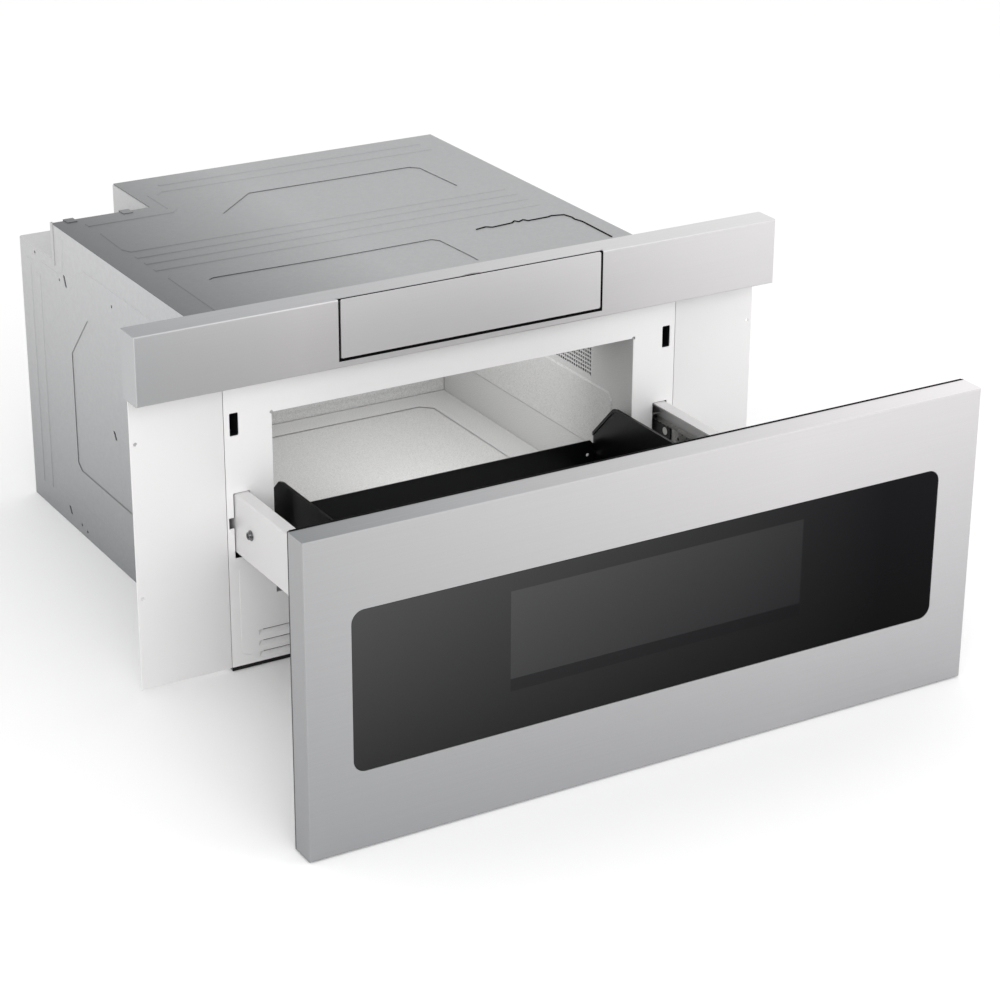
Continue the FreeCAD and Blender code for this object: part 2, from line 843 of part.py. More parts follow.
def make_cavity_liner():
    """Make the welded oven box, open at the front, with its feed and vent windows."""
    outside = box((-liner_half, liner_half), (D.casing_sheet, liner_rear),
                  (liner_bottom, liner_top))
    inside = box((-cavity_half, cavity_half), (0, D.cavity_depth),
                 (D.cavity_floor, cavity_ceiling))
    feed = D.feed_opening / 2
    window = box((-feed, feed), (D.feed_centre - feed, D.feed_centre + feed),
                 (cavity_ceiling - 1, liner_top + 1))
    vent = box((cavity_half - 1, liner_half + 1), (D.vent_front, D.vent_front + D.vent_length),
               (D.vent_bottom, D.vent_bottom + D.vent_height))
    keep("cavity_liner", fuse(cut(outside, inside, window, vent), *cavity_pressings()))


def make_vent_screen():
    """Make the perforated screen in the right wall of the cavity."""
    margin = 4.0
    hole_radius = 3.0
    pitch = 9.5
    row_pitch = pitch * 0.87
    front = number_of(D.vent_front)
    rear = front + number_of(D.vent_length)
    bottom = number_of(D.vent_bottom)
    top = bottom + number_of(D.vent_height)
    columns = int((rear - front - 2 * margin) / pitch)
    rows = int((top - bottom - 2 * margin) / row_pitch)
    wall = number_of(cavity_half)
    thickness = number_of(D.liner_sheet)
    plate = Part.Face(Part.makePolygon([Vector(wall, y, z) for y, z in (
        (front, bottom), (rear, bottom), (rear, top), (front, top), (front, bottom))]))
    holes = []
    for row in range(rows):
        for column in range(columns - row % 2):
            y = front + margin + pitch * (column + 0.5 + 0.5 * (row % 2))
            z = bottom + margin + row_pitch * (row + 0.5)
            ring = []
            for corner in range(7):
                angle = math.radians(60 * corner + 30)
                ring.append(Vector(wall, y + hole_radius * math.cos(angle),
                                   z + hole_radius * math.sin(angle)))
            holes.append(Part.Face(Part.makePolygon(ring)))
    screen = plate.cut(Part.Compound(holes)).extrude(Vector(thickness, 0, 0))
    keep("cavity_vent_screen", shape_feature(screen.Solids[0]))


def make_feed():
    """Make the waveguide with its stirrer dome, the cover below it and the stirrer motor."""
    sheet = D.liner_sheet
    dome_half = D.feed_opening / 2 + 5
    dome_front = D.feed_centre - dome_half
    dome_rear = D.feed_centre + dome_half
    roof = liner_top + D.waveguide_height
    duct_half = D.waveguide_width / 2
    dome = box((-dome_half, dome_half), (dome_front, dome_rear), (liner_top, roof))
    duct = box((-duct_half, duct_half), (dome_rear - 1, D.waveguide_end), (liner_top, roof))
    dome_hollow = box((-dome_half + sheet, dome_half - sheet),
                      (dome_front + sheet, dome_rear - sheet), (liner_top - 1, roof - sheet))
    duct_hollow = box((-duct_half + sheet, duct_half - sheet),
                      (dome_rear - 3, D.waveguide_end - sheet), (liner_top + sheet, roof - sheet))
    antenna_hole_radius = 12.0
    antenna_hole = peg("z", (liner_top - 2, liner_top + sheet + 1), (0, D.antenna_centre),
                       antenna_hole_radius, 16)
    shaft_hole = rod("z", (roof - sheet - 1, roof + 1), (0, D.feed_centre),
                     D.stirrer_shaft_radius + D.bore_clearance)
    keep("waveguide", cut(fuse(dome, duct), dome_hollow, duct_hollow, antenna_hole, shaft_hole))
    cover_sheet = 1.2
    cover = box((-dome_half, dome_half), (dome_front, dome_rear),
                (cavity_ceiling - cover_sheet, cavity_ceiling))
    keep("stirrer_cover", rounded(cover, 10.0, along("z")))
    motor_height = 22.0
    motor_radius = 24.0
    ear_reach = 34.0
    ear_half = 9.0
    can = peg("z", (roof, roof + motor_height), (0, D.feed_centre), motor_radius, 20)
    ears = box((-ear_reach, ear_reach), (D.feed_centre - ear_half, D.feed_centre + ear_half),
               (roof, roof + 2))
    bore = rod("z", (roof - 1, roof + 9), (0, D.feed_centre),
               D.stirrer_shaft_radius + D.bore_clearance)
    keep("stirrer_motor", cut(fuse(can, ears), bore))


def make_stirrer():
    """Make the four-vaned stirrer on its shaft."""
    roof = liner_top + D.waveguide_height
    shaft = rod("z", (liner_top + 4, roof + 8), (0, D.feed_centre), D.stirrer_shaft_radius)
    hub_radius = 9.0
    hub = peg("z", (liner_top + 6, liner_top + 14), (0, D.feed_centre), hub_radius, 12)
    vanes = []
    vane_half = 11.0
    level = liner_top + 9
    vane = 1.2
    radius = D.stirrer_radius
    vanes.append(box((-radius, radius), (D.feed_centre - vane_half, D.feed_centre + vane_half),
                     (level, level + vane)))
    vanes.append(box((-vane_half, vane_half), (D.feed_centre - radius, D.feed_centre + radius),
                     (level, level + vane)))
    fold = 6.0
    for side in SIDES.values():
        tip = across(side, radius - vane, radius)
        vanes.append(box(tip, (D.feed_centre - vane_half, D.feed_centre + vane_half),
                         (level, level + fold)))
        end = (D.feed_centre - radius, D.feed_centre - radius + vane)
        if side > 0:
            end = (D.feed_centre + radius - vane, D.feed_centre + radius)
        vanes.append(box((-vane_half, vane_half), end, (level, level + fold)))
    keep("stirrer_blade", fuse(shaft, hub, *vanes))


def make_lamp():
    """Make the cavity lamp housing on the rear wall of the oven box."""
    wall = 1.5
    left, right = 120.0, 160.0
    low, high = 232.0, 266.0
    length = 30.0
    housing = box((left, right), (liner_rear, liner_rear + length), (low, high))
    hollow = box((left + wall, right - wall), (liner_rear - 1, liner_rear + length - wall),
                 (low + wall, high - wall))
    ear_reach = 9.0
    ears = box((left - ear_reach, right + ear_reach), (liner_rear, liner_rear + wall),
               (low + 8, high - 8))
    bulb_radius = 8.0
    bulb = peg("y", (liner_rear + 8, liner_rear + length - wall / 2),
               ((left + right) / 2, (low + high) / 2), bulb_radius, 12)
    keep("cavity_lamp", fuse(cut(fuse(housing, ears), hollow), bulb))


# ----------------------------------------------- power supply and cooling air

magnetron_top = liner_top - 3
magnetron_bottom = magnetron_top - D.magnetron_height
magnetron_half = D.magnetron_width / 2
fan_level = magnetron_top - 50
board_sheet = 1.6


def make_magnetron():
    """Make the magnetron: yoke, anode, cooling fins, filter box, gasket and antenna."""
    half = magnetron_half
    depth_half = 40.0
    near = D.antenna_centre - depth_half
    far = D.antenna_centre + depth_half
    top = magnetron_top
    flange = 3.0
    flange_reach = 5.0
    yoke = 2.5
    yoke_height = 80.5
    anode_radius = 19.0
    gasket_radius = 20.0
    antenna_radius = 7.5
    antenna_height = 17.0
    filter_half = 32.0
    middle = (0, D.antenna_centre)
    yoke_frame = [
        (-half, top - yoke_height), (half, top - yoke_height), (half, top - flange / 2),
        (half - yoke, top - flange / 2), (half - yoke, top - yoke_height + yoke),
        (-half + yoke, top - yoke_height + yoke), (-half + yoke, top - flange / 2),
        (-half, top - flange / 2),
    ]
    pieces = [
        box((-half - flange_reach, half + flange_reach), (near - flange_reach, far + flange_reach),
            (top - flange, top)),
        prism("y", (near, far), yoke_frame),
        peg("z", (top - yoke_height + yoke, top - flange), middle, anode_radius, 16),
        box((-filter_half, filter_half), (near + 6, far - 6),
            (magnetron_bottom, top - yoke_height)),
        peg("z", (top, liner_top), middle, gasket_radius, 16),
        peg("z", (liner_top, liner_top + antenna_height), middle, antenna_radius, 12),
    ]
    fin = 0.8
    fin_pitch = 9.5
    for index in range(6):
        level = top - 66 + fin_pitch * index
        pieces.append(box((-half + 2, half - 2), (near + 3, far - 3), (level, level + fin)))
    keep("magnetron", fuse(*pieces))


duct_length = 44.0
fan_right = -magnetron_half - 5 - duct_length
fan_left = fan_right - D.fan_depth
spoke = 3.0


def fan_spokes(depth):
    """Return the spider in front of the bore that carries the fan motor."""
    spoke_half = 3.0
    hub_radius = 18.0
    frame_half = D.fan_frame / 2
    span = (fan_left - spoke, fan_left)
    return [
        box(span, (depth - frame_half, depth + frame_half),
            (fan_level - spoke_half, fan_level + spoke_half)),
        box(span, (depth - spoke_half, depth + spoke_half),
            (fan_level - frame_half, fan_level + frame_half)),
        peg("x", span, (depth, fan_level), hub_radius, 16),
    ]


def make_fan():
    """Make the cooling fan: its frame, motor, five-bladed impeller and air duct."""
    depth = D.antenna_centre
    frame_half = D.fan_frame / 2
    y_span = (depth - frame_half, depth + frame_half)
    z_span = (fan_level - frame_half, fan_level + frame_half)
    frame = box((fan_left, fan_right), y_span, z_span)
    bore = peg("x", (fan_left - 1, fan_right + 1), (depth, fan_level), D.fan_bore_radius, 32)
    ear_half = 30.0
    ear = box((fan_left, fan_left + 6), (liner_rear, depth - frame_half),
              (fan_level - ear_half, fan_level + ear_half))
    shaft_hole = rod("x", (fan_left - spoke - 1, fan_left + 1), (depth, fan_level),
                     D.fan_shaft_radius + D.bore_clearance)
    housing = fuse(cut(frame, bore), ear, *fan_spokes(depth))
    keep("cooling_fan_housing", cut(housing, shaft_hole))
    motor_length = 34.0
    motor_radius = 17.0
    boss_radius = 7.0
    motor_right = fan_left - spoke
    motor_left = motor_right - motor_length
    motor = peg("x", (motor_left, motor_right), (depth, fan_level), motor_radius, 20)
    boss = peg("x", (motor_left - 5, motor_left), (depth, fan_level), boss_radius, 10)
    motor_bore = rod("x", (fan_left - 14, motor_right + 1), (depth, fan_level),
                     D.fan_shaft_radius + D.bore_clearance)
    keep("fan_motor", cut(fuse(motor, boss), motor_bore))
    sheet = D.liner_sheet
    duct_half = 45.0
    inner_half = duct_half - sheet
    duct = box((fan_right, fan_right + duct_length), (depth - duct_half, depth + duct_half),
               (fan_level - duct_half, fan_level + duct_half))
    hollow = box((fan_right - 1, fan_right + duct_length + 1),
                 (depth - inner_half, depth + inner_half),
                 (fan_level - inner_half, fan_level + inner_half))
    keep("magnetron_air_duct", cut(duct, hollow))


def make_impeller():
    """Make the impeller: a hub with five pitched blades on its shaft."""
    depth = number_of(D.antenna_centre)
    level = number_of(fan_level)
    middle = number_of(fan_left + D.fan_depth / 2)
    blade_length = number_of(D.fan_bore_radius - D.fan_tip_clearance)
    hub_radius = 14.0
    hub_half = 10.0
    chord = 26.0
    blade = 1.6
    pitch_angle = 35.0
    blades = 5
    hub = Part.makeCylinder(hub_radius, 2 * hub_half, Vector(-hub_half, 0, 0), Vector(1, 0, 0))
    shape = hub
    for index in range(blades):
        sheet = Part.makeBox(chord, blade, blade_length - hub_radius + 3,
                             Vector(-chord / 2, -blade / 2, hub_radius - 3))
        sheet.rotate(Vector(), Vector(0, 0, 1), pitch_angle)
        sheet.rotate(Vector(), Vector(1, 0, 0), 360.0 / blades * index)
        shape = shape.fuse(sheet)
    limit = Part.makeCylinder(blade_length, 60, Vector(-30, 0, 0), Vector(1, 0, 0))
    shaft_start = number_of(fan_left - 12) - middle
    shaft = Part.makeCylinder(number_of(D.fan_shaft_radius), -shaft_start,
                              Vector(shaft_start, 0, 0), Vector(1, 0, 0))
    impeller = shape.common(limit).fuse(shaft).removeSplitter()
    thing = shape_feature(impeller)
    thing.Placement = Placement(Vector(middle, depth, level), Rotation())
    keep("fan_impeller", thing)


def make_transformer():
    """Make the high-voltage transformer: laminated core, windings and feet."""
    sheet = D.casing_sheet
    left, right = 62.0, 166.0
    near, far = 452.0, 512.0
    middle = (left + right) / 2
    foot = 2.0
    foot_reach = 10.0
    core_top = 84.0
    window_low, window_high = 18.0, 68.0
    leg = 24.0
    side_leg = 16.0
    core = box((left, right), (near, far), (sheet + foot, sheet + core_top))
    windows = []
    for low, high in ((left + side_leg, middle - leg / 2), (middle + leg / 2, right - side_leg)):
        windows.append(box((low, high), (near - 1, far + 1),
                           (sheet + window_low, sheet + window_high)))
    coil_inset = 1.0
    coil_reach = 14.0
    coil = box((left + side_leg + coil_inset, right - side_leg - coil_inset),
               (near - coil_reach, far + coil_reach),
               (sheet + window_low + coil_inset, sheet + window_high - coil_inset))
    feet = box((left - foot_reach, right + foot_reach), (near + 6, far - 6),
               (sheet, sheet + foot))
    keep("hv_transformer", fuse(cut(core, *windows), rounded(coil, coil_reach, along("z")), feet))


def make_capacitor():
    """Make the oval capacitor can with its two terminals."""
    sheet = D.casing_sheet
    radius = 17.0
    middle = 212.0
    near, far = 462.0, 500.0
    height = 88.0
    can = box((middle - radius, middle + radius), (near - radius, far + radius),
              (sheet, sheet + height))
    terminal_half = 3.0
    leaf_half = 0.6
    terminal_height = 12.0
    terminals = []
    for depth in (near, far):
        terminals.append(box((middle - terminal_half, middle + terminal_half),
                             (depth - leaf_half, depth + leaf_half),
                             (sheet + height, sheet + height + terminal_height)))
    keep("hv_capacitor", fuse(rounded(can, radius - 0.5, along("z")), *terminals))


def make_filter_board():
    """Make the mains filter board on four posts of the rear panel."""
    left, right = -262.0, -176.0
    low, high = 190.0, 290.0
    face = rear_inner - 9
    post_inset = 6.0
    post_radius = 3.0
    pieces = [box((left, right), (face, face + board_sheet), (low, high))]
    for x in (left + post_inset, right - post_inset):
        for z in (low + post_inset, high - post_inset):
            pieces.append(peg("y", (face + board_sheet, rear_inner), (x, z), post_radius, 8))
    choke_place = (-222, 262)
    choke_height = 16.0
    choke_radius = 15.0
    choke_bore = 6.0
    choke = peg("y", (face - choke_height, face), choke_place, choke_radius, 16)
    bore = peg("y", (face - choke_height - 1, face), choke_place, choke_bore, 12)
    pieces.append(cut(choke, bore))
    pieces.append(box((-254, -232), (face - 14, face), (204, 236)))
    fuse_radius = 4.0
    pieces.append(peg("z", (204, 232), (-192, face - 3), fuse_radius))
    keep("noise_filter_board", fuse(*pieces))


def make_control_board():
    """Make the control board on four posts above the oven box."""
    left, right = -140.0, 140.0
    near, far = 28.0, 112.0
    post_inset = 7.0
    post_radius = 4.0
    level = liner_top + 30
    face = level + board_sheet
    pieces = [box((left, right), (near, far), (level, face))]
    for x in (left + post_inset, right - post_inset):
        for y in (near + post_inset, far - post_inset):
            pieces.append(peg("z", (liner_top, level), (x, y), post_radius, 8))
    relay_width = 18.0
    for x in (-120.0, -92.0, -64.0):
        pieces.append(box((x, x + relay_width), (40, 66), (face, face + 18)))
    coil_block = box((10, 52), (46, 84), (face, face + 30))
    capacitor = peg("z", (face, face + 24), (84, 60), 9.0, 12)
    plug_row = box((108, 128), (40, 100), (face, face + 10))
    keep("control_board", fuse(*pieces, coil_block, capacitor, plug_row))


# ---------------------------------------------------------- rack drive


def pinion_outline():
    """Return the corners of the pinion, one tooth straight up, from its involute."""
    module = number_of(D.gear_module)
    teeth = int(number_of(D.pinion_teeth))
    pitch_radius = module * teeth / 2
    pressure = math.radians(20)
    base_radius = pitch_radius * math.cos(pressure)
    tip_radius = pitch_radius + 0.9 * module
    root_radius = pitch_radius - 1.2 * module
    thickness = math.pi * module / 2 - number_of(D.gear_backlash)
    half_at_pitch = thickness / (2 * pitch_radius)

    def half_angle(radius):
        slope = math.acos(min(1.0, base_radius / radius))
        roll = math.tan(slope) - slope
        return half_at_pitch + math.tan(pressure) - pressure - roll

    flank = [max(base_radius, root_radius)]
    steps = 2
    for step in range(1, steps + 1):
        flank.append(flank[0] + (tip_radius - flank[0]) * step / steps)
    corners = []
    for tooth in range(teeth):
        middle = math.pi / 2 + 2 * math.pi * tooth / teeth
        right = [(root_radius, half_angle(flank[0]))] + [(r, half_angle(r)) for r in flank]
        for radius, half in right:
            corners.append((radius, middle - half))
        for radius, half in reversed(right):
            corners.append((radius, middle + half))
    return [(radius * math.cos(angle), radius * math.sin(angle)) for radius, angle in corners]


def make_pinion():
    """Make the drive pinion on its shaft."""
    low = number_of(D.rack_centre - D.gear_width / 2)
    high = number_of(D.rack_centre + D.gear_width / 2)
    depth = number_of(D.pinion_depth)
    level = number_of(D.pinion_level)
    points = [(depth + y, level + z) for y, z in pinion_outline()]
    wheel = polygon_prism("x", points, low, high)
    shaft = Part.makeCylinder(number_of(D.drive_shaft_radius), high - low + 18,
                              Vector(low - 2, depth, level), Vector(1, 0, 0))
    keep("drive_pinion", shape_feature(wheel.fuse(shaft)))


rack_length = D.open_distance + D.pinion_depth + 20


def make_rack():
    """Make the rack that pulls the drawer, its teeth facing down."""
    module = number_of(D.gear_module)
    pitch = math.pi * module
    pitch_line = number_of(rack_pitch_line)
    tip = pitch_line - 0.9 * module
    root = pitch_line + 1.2 * module
    half = (pitch / 2 - number_of(D.gear_backlash)) / 2
    slope = math.tan(math.radians(20))
    tip_half = half - 0.9 * module * slope
    root_half = half + 1.2 * module * slope
    front = number_of(drawer_back)
    rear = front + number_of(rack_length)
    start = number_of(D.pinion_depth) + pitch / 2
    count_back = int((rear - 3 - start) / pitch)
    count_front = int((start - front - 30) / pitch)
    low = number_of(D.rack_centre - D.gear_width / 2 - 1)
    high = number_of(D.rack_centre + D.gear_width / 2 + 1)
    corners = [(front, root)]
    for index in range(-count_front, count_back + 1):
        middle = start + pitch * index
        corners += [(middle - root_half, root), (middle - tip_half, tip),
                    (middle + tip_half, tip), (middle + root_half, root)]
    corners += [(rear, root), (rear, number_of(rack_top)), (front, number_of(rack_top))]
    keep("drive_rack", shape_feature(polygon_prism("x", corners, low, high)))


def make_gearmotor():
    """Make the gear motor that turns the pinion, and the shoe that holds the rack down."""
    sheet = D.casing_sheet
    left = D.rack_centre + D.gear_width / 2 + 5
    depth = D.pinion_depth
    level = D.pinion_level
    case_width = 26.0
    motor_length = 50.0
    motor_radius = 17.0
    case = box((left, left + case_width), (depth - 24, depth + 44), (sheet, level + 24))
    can = peg("x", (left + case_width, left + case_width + motor_length), (depth + 18, level),
              motor_radius, 20)
    bore = rod("x", (left - 1, left + 14), (depth, level), D.drive_shaft_radius + D.bore_clearance)
    keep("drive_gearmotor", cut(fuse(rounded(case, 5.0, along("x")), can), bore))
    shoe_half = 12.0
    shoe = box((D.rack_centre - shoe_half, D.rack_centre + shoe_half),
               (depth - shoe_half, depth + shoe_half), (rack_top + D.bore_clearance, liner_bottom))
    keep("rack_guide", shoe)


# -------------------------------------------------------- telescopic slides

slide_outer = arm_inner
slide_inner = slide_outer - D.slide_depth
roller_gap = 2 * D.roller_radius + 2 * D.roller_clearance
fixed_half = D.fixed_rail_height / 2
mid_half = fixed_half - D.rail_thickness - roller_gap
inner_half = mid_half - D.rail_thickness - roller_gap
outer_row = mid_half + roller_gap / 2
inner_row = inner_half + roller_gap / 2
cage_space = D.cage_thickness + 2 * D.cage_clearance
mid_web = slide_inner + D.rail_thickness + cage_space
inner_tip = mid_web + D.rail_thickness + cage_space
mid_shift = travel / 2


def channel(side, span_y, web, flange, half, inside):
    """Return a C-shaped rail: its web between two distances, and its two flanges."""
    low = D.slide_level - half
    high = D.slide_level + half
    wall = D.rail_thickness
    profile = [
        (web, low), (flange, low), (flange, low + wall), (inside, low + wall),
        (inside, high - wall), (flange, high - wall), (flange, high), (web, high),
    ]
    return prism("y", span_y, [(side * a, b) for a, b in profile])


def make_fixed_rails():
    """Make the fixed rails with the brackets that carry them on the oven box."""
    front = D.slide_front
    level = D.slide_level
    bracket_half = 14.0
    bracket_lip = 10.0
    wall = 1.6
    end = 20.0
    face = liner_half + wall
    for name, side in SIDES.items():
        rail = channel(side, (front, front + D.slide_length), slide_inner, slide_outer - 1.5,
                       fixed_half, slide_inner + D.rail_thickness)
        profile = [
            (liner_half, -bracket_half - bracket_lip), (face, -bracket_half - bracket_lip),
            (face, -bracket_half), (slide_inner, -bracket_half),
            (slide_inner, -bracket_half + wall), (face, -bracket_half + wall),
            (face, bracket_half - wall), (slide_inner, bracket_half - wall),
            (slide_inner, bracket_half), (face, bracket_half),
            (face, bracket_half + bracket_lip), (liner_half, bracket_half + bracket_lip),
        ]
        bracket = prism("y", (front + end, front + D.slide_length - end),
                        [(side * a, level + b) for a, b in profile])
        keep(name + "_fixed_rail", fuse(rail, bracket))


def make_mid_rails():
    """Make the middle rails, drawn half way out."""
    front = D.slide_front + 3 - mid_shift
    hole_radius = 2.2
    hole_pitch = 110.0
    first_hole = -45.0
    hole_rise = 4.0
    for name, side in SIDES.items():
        rail = channel(side, (front, front + D.slide_length), mid_web, slide_outer - 3,
                       mid_half, mid_web + D.rail_thickness)
        span = across(side, mid_web - 1, mid_web + D.rail_thickness + 1)
        holes = []
        for step in range(3):
            place = (first_hole + hole_pitch * step, D.slide_level + hole_rise)
            holes.append(peg("x", span, place, hole_radius, 8))
        keep(name + "_mid_rail", cut(rail, *holes))


inner_rail_front = drawer_back + 6


def make_inner_rails():
    """Make the inner rails that are screwed to the arms."""
    rails = []
    for side in SIDES.values():
        span = (inner_rail_front, inner_rail_front + D.slide_length)
        rail = channel(side, span, slide_outer, inner_tip, inner_half,
                       slide_outer - D.rail_thickness)
        hole = peg("x", across(side, slide_outer - 3, slide_outer + 1), screw_place,
                   screw_radius + 0.1, 8)
        rails.append(cut(rail, hole))
    keep("inner_rails", group(*rails))


def cage(side, web, front, length, row, roller_reach):
    """Return one roller cage and its rollers on the two rows above and below the slide."""
    level = D.slide_level
    thin = 0.6
    nose_half = row - 3.3
    half = row + thin
    body = front + 40
    rear = front + length
    plate = [
        (front, level - nose_half), (body, level - nose_half), (body, level - half),
        (rear, level - half), (rear, level + half), (body, level + half),
        (body, level + nose_half), (front, level + nose_half),
    ]
    pieces = [prism("x", across(side, web, web + D.cage_thickness), plate)]
    rollers = []
    pockets = []
    first = body + 8
    pitch = (rear - 14 - first) / 3
    margin = D.roller_radius + 0.2
    for row_side in (-1, 1):
        middle = level + row_side * row
        pieces.append(box(across(side, web, roller_reach + 1.5), (body, rear),
                          (middle - thin, middle + thin)))
        for step in range(4):
            depth = first + pitch * step
            roller_span = across(side, web + D.cage_thickness + 1, roller_reach)
            rollers.append(peg("x", roller_span, (depth, middle), D.roller_radius))
            pocket = across(side, web + D.cage_thickness + 0.8, roller_reach + 0.2)
            pockets.append(box(pocket, (depth - margin, depth + margin),
                               (middle - margin, middle + margin)))
    return [cut(fuse(*pieces), *pockets)] + rollers


def make_cages():
    """Make the roller cages between the rails."""
    outer = []
    inner = []
    outer_front = -31.0
    inner_front = -150.0
    for side in SIDES.values():
        outer += cage(side, slide_inner + D.rail_thickness + D.cage_clearance, outer_front,
                      D.slide_length * 0.55, outer_row, slide_outer - 4.5)
        inner += cage(side, mid_web + D.rail_thickness + D.cage_clearance, inner_front,
                      D.slide_length * 0.425, inner_row, slide_outer - 3.2)
    keep("outer_roller_cages", group(*outer))
    keep("inner_roller_cages", group(*inner))


# -------------------------------------------------------- arms and latches

screw_radius = 2.5
screw_place = (drawer_back + 324, D.slide_level)


def make_arms():
    """Make the two folded arms that carry the drawer, and the screws into the rails."""
    screws = []
    washer_radius = 5.6
    washer_thickness = 1.2
    head_radius = 3.8
    head_height = 4.2
    profile = [
        (arm_outer, D.arm_bottom), (arm_outer, arm_top), (arm_flange_inner, arm_top),
        (arm_flange_inner, arm_top - D.arm_sheet), (arm_inner, arm_top - D.arm_sheet),
        (arm_inner, D.arm_bottom),
    ]
    for name, side in SIDES.items():
        angle = prism("y", (drawer_back, D.arm_tail), [(side * a, b) for a, b in profile])
        hole = peg("x", across(side, arm_inner - 1, arm_outer + 1), screw_place,
                   screw_radius + 0.1, 8)
        bend = lies_on(x=side * arm_outer, z=arm_top)
        keep(name + "_arm", cut(rounded(angle, D.arm_bend, bend), hole))
        washer = peg("x", across(side, arm_outer, arm_outer + washer_thickness), screw_place,
                     washer_radius, 12)
        head = peg("x", across(side, arm_outer, arm_outer + head_height), screw_place,
                   head_radius, 6)
        shank = peg("x", across(side, arm_inner - D.rail_thickness, arm_outer), screw_place,
                    screw_radius, 8)
        screws.append(fuse(washer, head, shank))
    keep("arm_screws", group(*screws))


hook_tip = drawer_back + D.hook_length


def make_hooks():
    """Make the two latch hooks on the back of the drawer front."""
    level = D.latch_level
    tip = hook_tip
    outline = [
        (drawer_back, level - 5.5), (tip - 12, level - 5.5), (tip - 12, level - 9.5),
        (tip - 5, level - 9.5), (tip, level - 3), (tip, level + 4), (tip - 4, level + 8),
        (drawer_back, level + 8),
    ]
    hooks = []
    for side in SIDES.values():
        hooks.append(prism("x", across(side, latch_middle - D.hook_width / 2,
                                       latch_middle + D.hook_width / 2), outline))
    keep("latch_hooks", group(*hooks))


def make_interlocks():
    """Make the interlock housings behind the latch slots and their sprung plungers."""
    level = D.latch_level
    sheet = D.casing_sheet
    tip = -D.closed_gap + D.hook_length + D.plunger_gap
    channel_end = tip + 14
    end = tip + 36
    head_length = 2.7
    block_half = 7.5
    block_rise = 16.0
    mouth_half = 5.0
    mouth_rise = 13.5
    housings = []
    for name, side in SIDES.items():
        block = box(across(side, latch_middle - block_half, latch_middle + block_half),
                    (sheet, end), (level - block_rise, level + block_rise))
        mouth = box(across(side, latch_middle - mouth_half, latch_middle + mouth_half),
                    (sheet - 1, channel_end), (level - mouth_rise, level + mouth_rise))
        middle = (side * latch_middle, level + 0.5)
        bore = rod("y", (channel_end - 1, end - 4), middle, D.plunger_radius + D.bore_clearance)
        housings.append(cut(block, mouth, bore))
        head = peg("y", (tip, tip + head_length), middle, D.plunger_radius + 1.7, 12)
        stem = rod("y", (tip + head_length, tip + 24), middle, D.plunger_radius)
        keep(name + "_interlock_plunger", fuse(head, stem))
    keep("interlock_housings", group(*housings))


# ------------------------------------------------------------- drawer front


def make_drawer_front():
    """Make the stainless drawer front, a shell with the opening for the glass."""
    skin = D.stainless
    shell_back = drawer_back - D.inner_panel
    outside = box((-front_half, front_half), (drawer_face, shell_back),
                  (drawer_bottom, drawer_top))
    inside = box((-front_half + skin, front_half - skin), (drawer_face + skin, drawer_back),
                 (drawer_bottom + skin, drawer_top - skin))
    half = D.glass_width / 2
    bottom = drawer_bottom + D.glass_rise
    opening = box((-half, half), (drawer_face - 1, drawer_face + skin + 1),
                  (bottom, bottom + D.glass_height))
    skin_box = rounded(outside, D.front_edge_radius, lies_on(y=drawer_face))
    keep("drawer_front", cut(skin_box, inside, rounded(opening, D.glass_corner, along("y"))))


def make_glass():
    """Make the dark glass, flush with the stainless face."""
    gap = D.glass_clearance
    half = D.glass_width / 2 - gap
    bottom = drawer_bottom + D.glass_rise + gap
    pane = box((-half, half), (glass_face, glass_back),
               (bottom, bottom + D.glass_height - 2 * gap))
    keep("drawer_glass", rounded(pane, D.glass_corner - gap, along("y")))


glass_face = drawer_face + 0.2
glass_back = glass_face + D.glass_thickness
window_bottom = drawer_bottom + D.glass_rise + D.window_rise
window_top = window_bottom + D.window_height
window_half = D.window_width / 2


def make_choke_box():
    """Make the pressed box behind the glass, which holds it and chokes the waves."""
    sheet = D.liner_sheet
    overlap = 11.0
    choke_reach = 12.0
    half = D.glass_width / 2 + overlap
    bottom = drawer_bottom + D.glass_rise - overlap
    ring_back = glass_back + 2
    ring = box((-half, half), (glass_back, ring_back),
               (bottom, bottom + D.glass_height + 2 * overlap))
    pan_half = cavity_half + choke_reach
    pan_top = opening_top + choke_reach
    back = drawer_back - D.inner_panel
    pan = box((-pan_half, pan_half), (ring_back, back), (bottom, pan_top))
    hollow = box((-pan_half + sheet, pan_half - sheet), (ring_back + sheet, back + 1),
                 (bottom + sheet, pan_top - sheet))
    window = box((-window_half, window_half), (glass_back - 1, back + 1),
                 (window_bottom, window_top))
    ties = []
    for side in SIDES.values():
        ties.append(box(across(side, arm_flange_inner, arm_outer), (ring_back, back),
                        (bottom, D.arm_bottom)))
    keep("choke_box", fuse(cut(fuse(ring, pan), hollow, window), *ties))


def make_window_screen():
    """Make the window screen between the glass and the choke box."""
    screen = box((-window_half, window_half), (glass_back + 0.4, glass_back + 1.0),
                 (window_bottom, window_top))
    keep("window_screen", screen)


def make_inner_panel():
    """Make the black inner panel and the choke cover on its back."""
    window = box((-window_half, window_half), (drawer_back - 5, drawer_back + 5),
                 (window_bottom, window_top))
    panel = box((-front_half, front_half), (drawer_back - D.inner_panel, drawer_back),
                (drawer_bottom, drawer_top))
    keep("drawer_inner_panel", cut(panel, window))
    outer = cavity_half + 14
    inner = basket_half + 2
    ring = box((-outer, outer), (drawer_back, drawer_back + D.seal_thickness),
               (D.cavity_floor - 6, opening_top + 12))
    hole = box((-inner, inner), (drawer_back - 1, drawer_back + 5),
               (basket_bottom - 1, opening_top - 4))
    keep("choke_cover", cut(ring, hole))


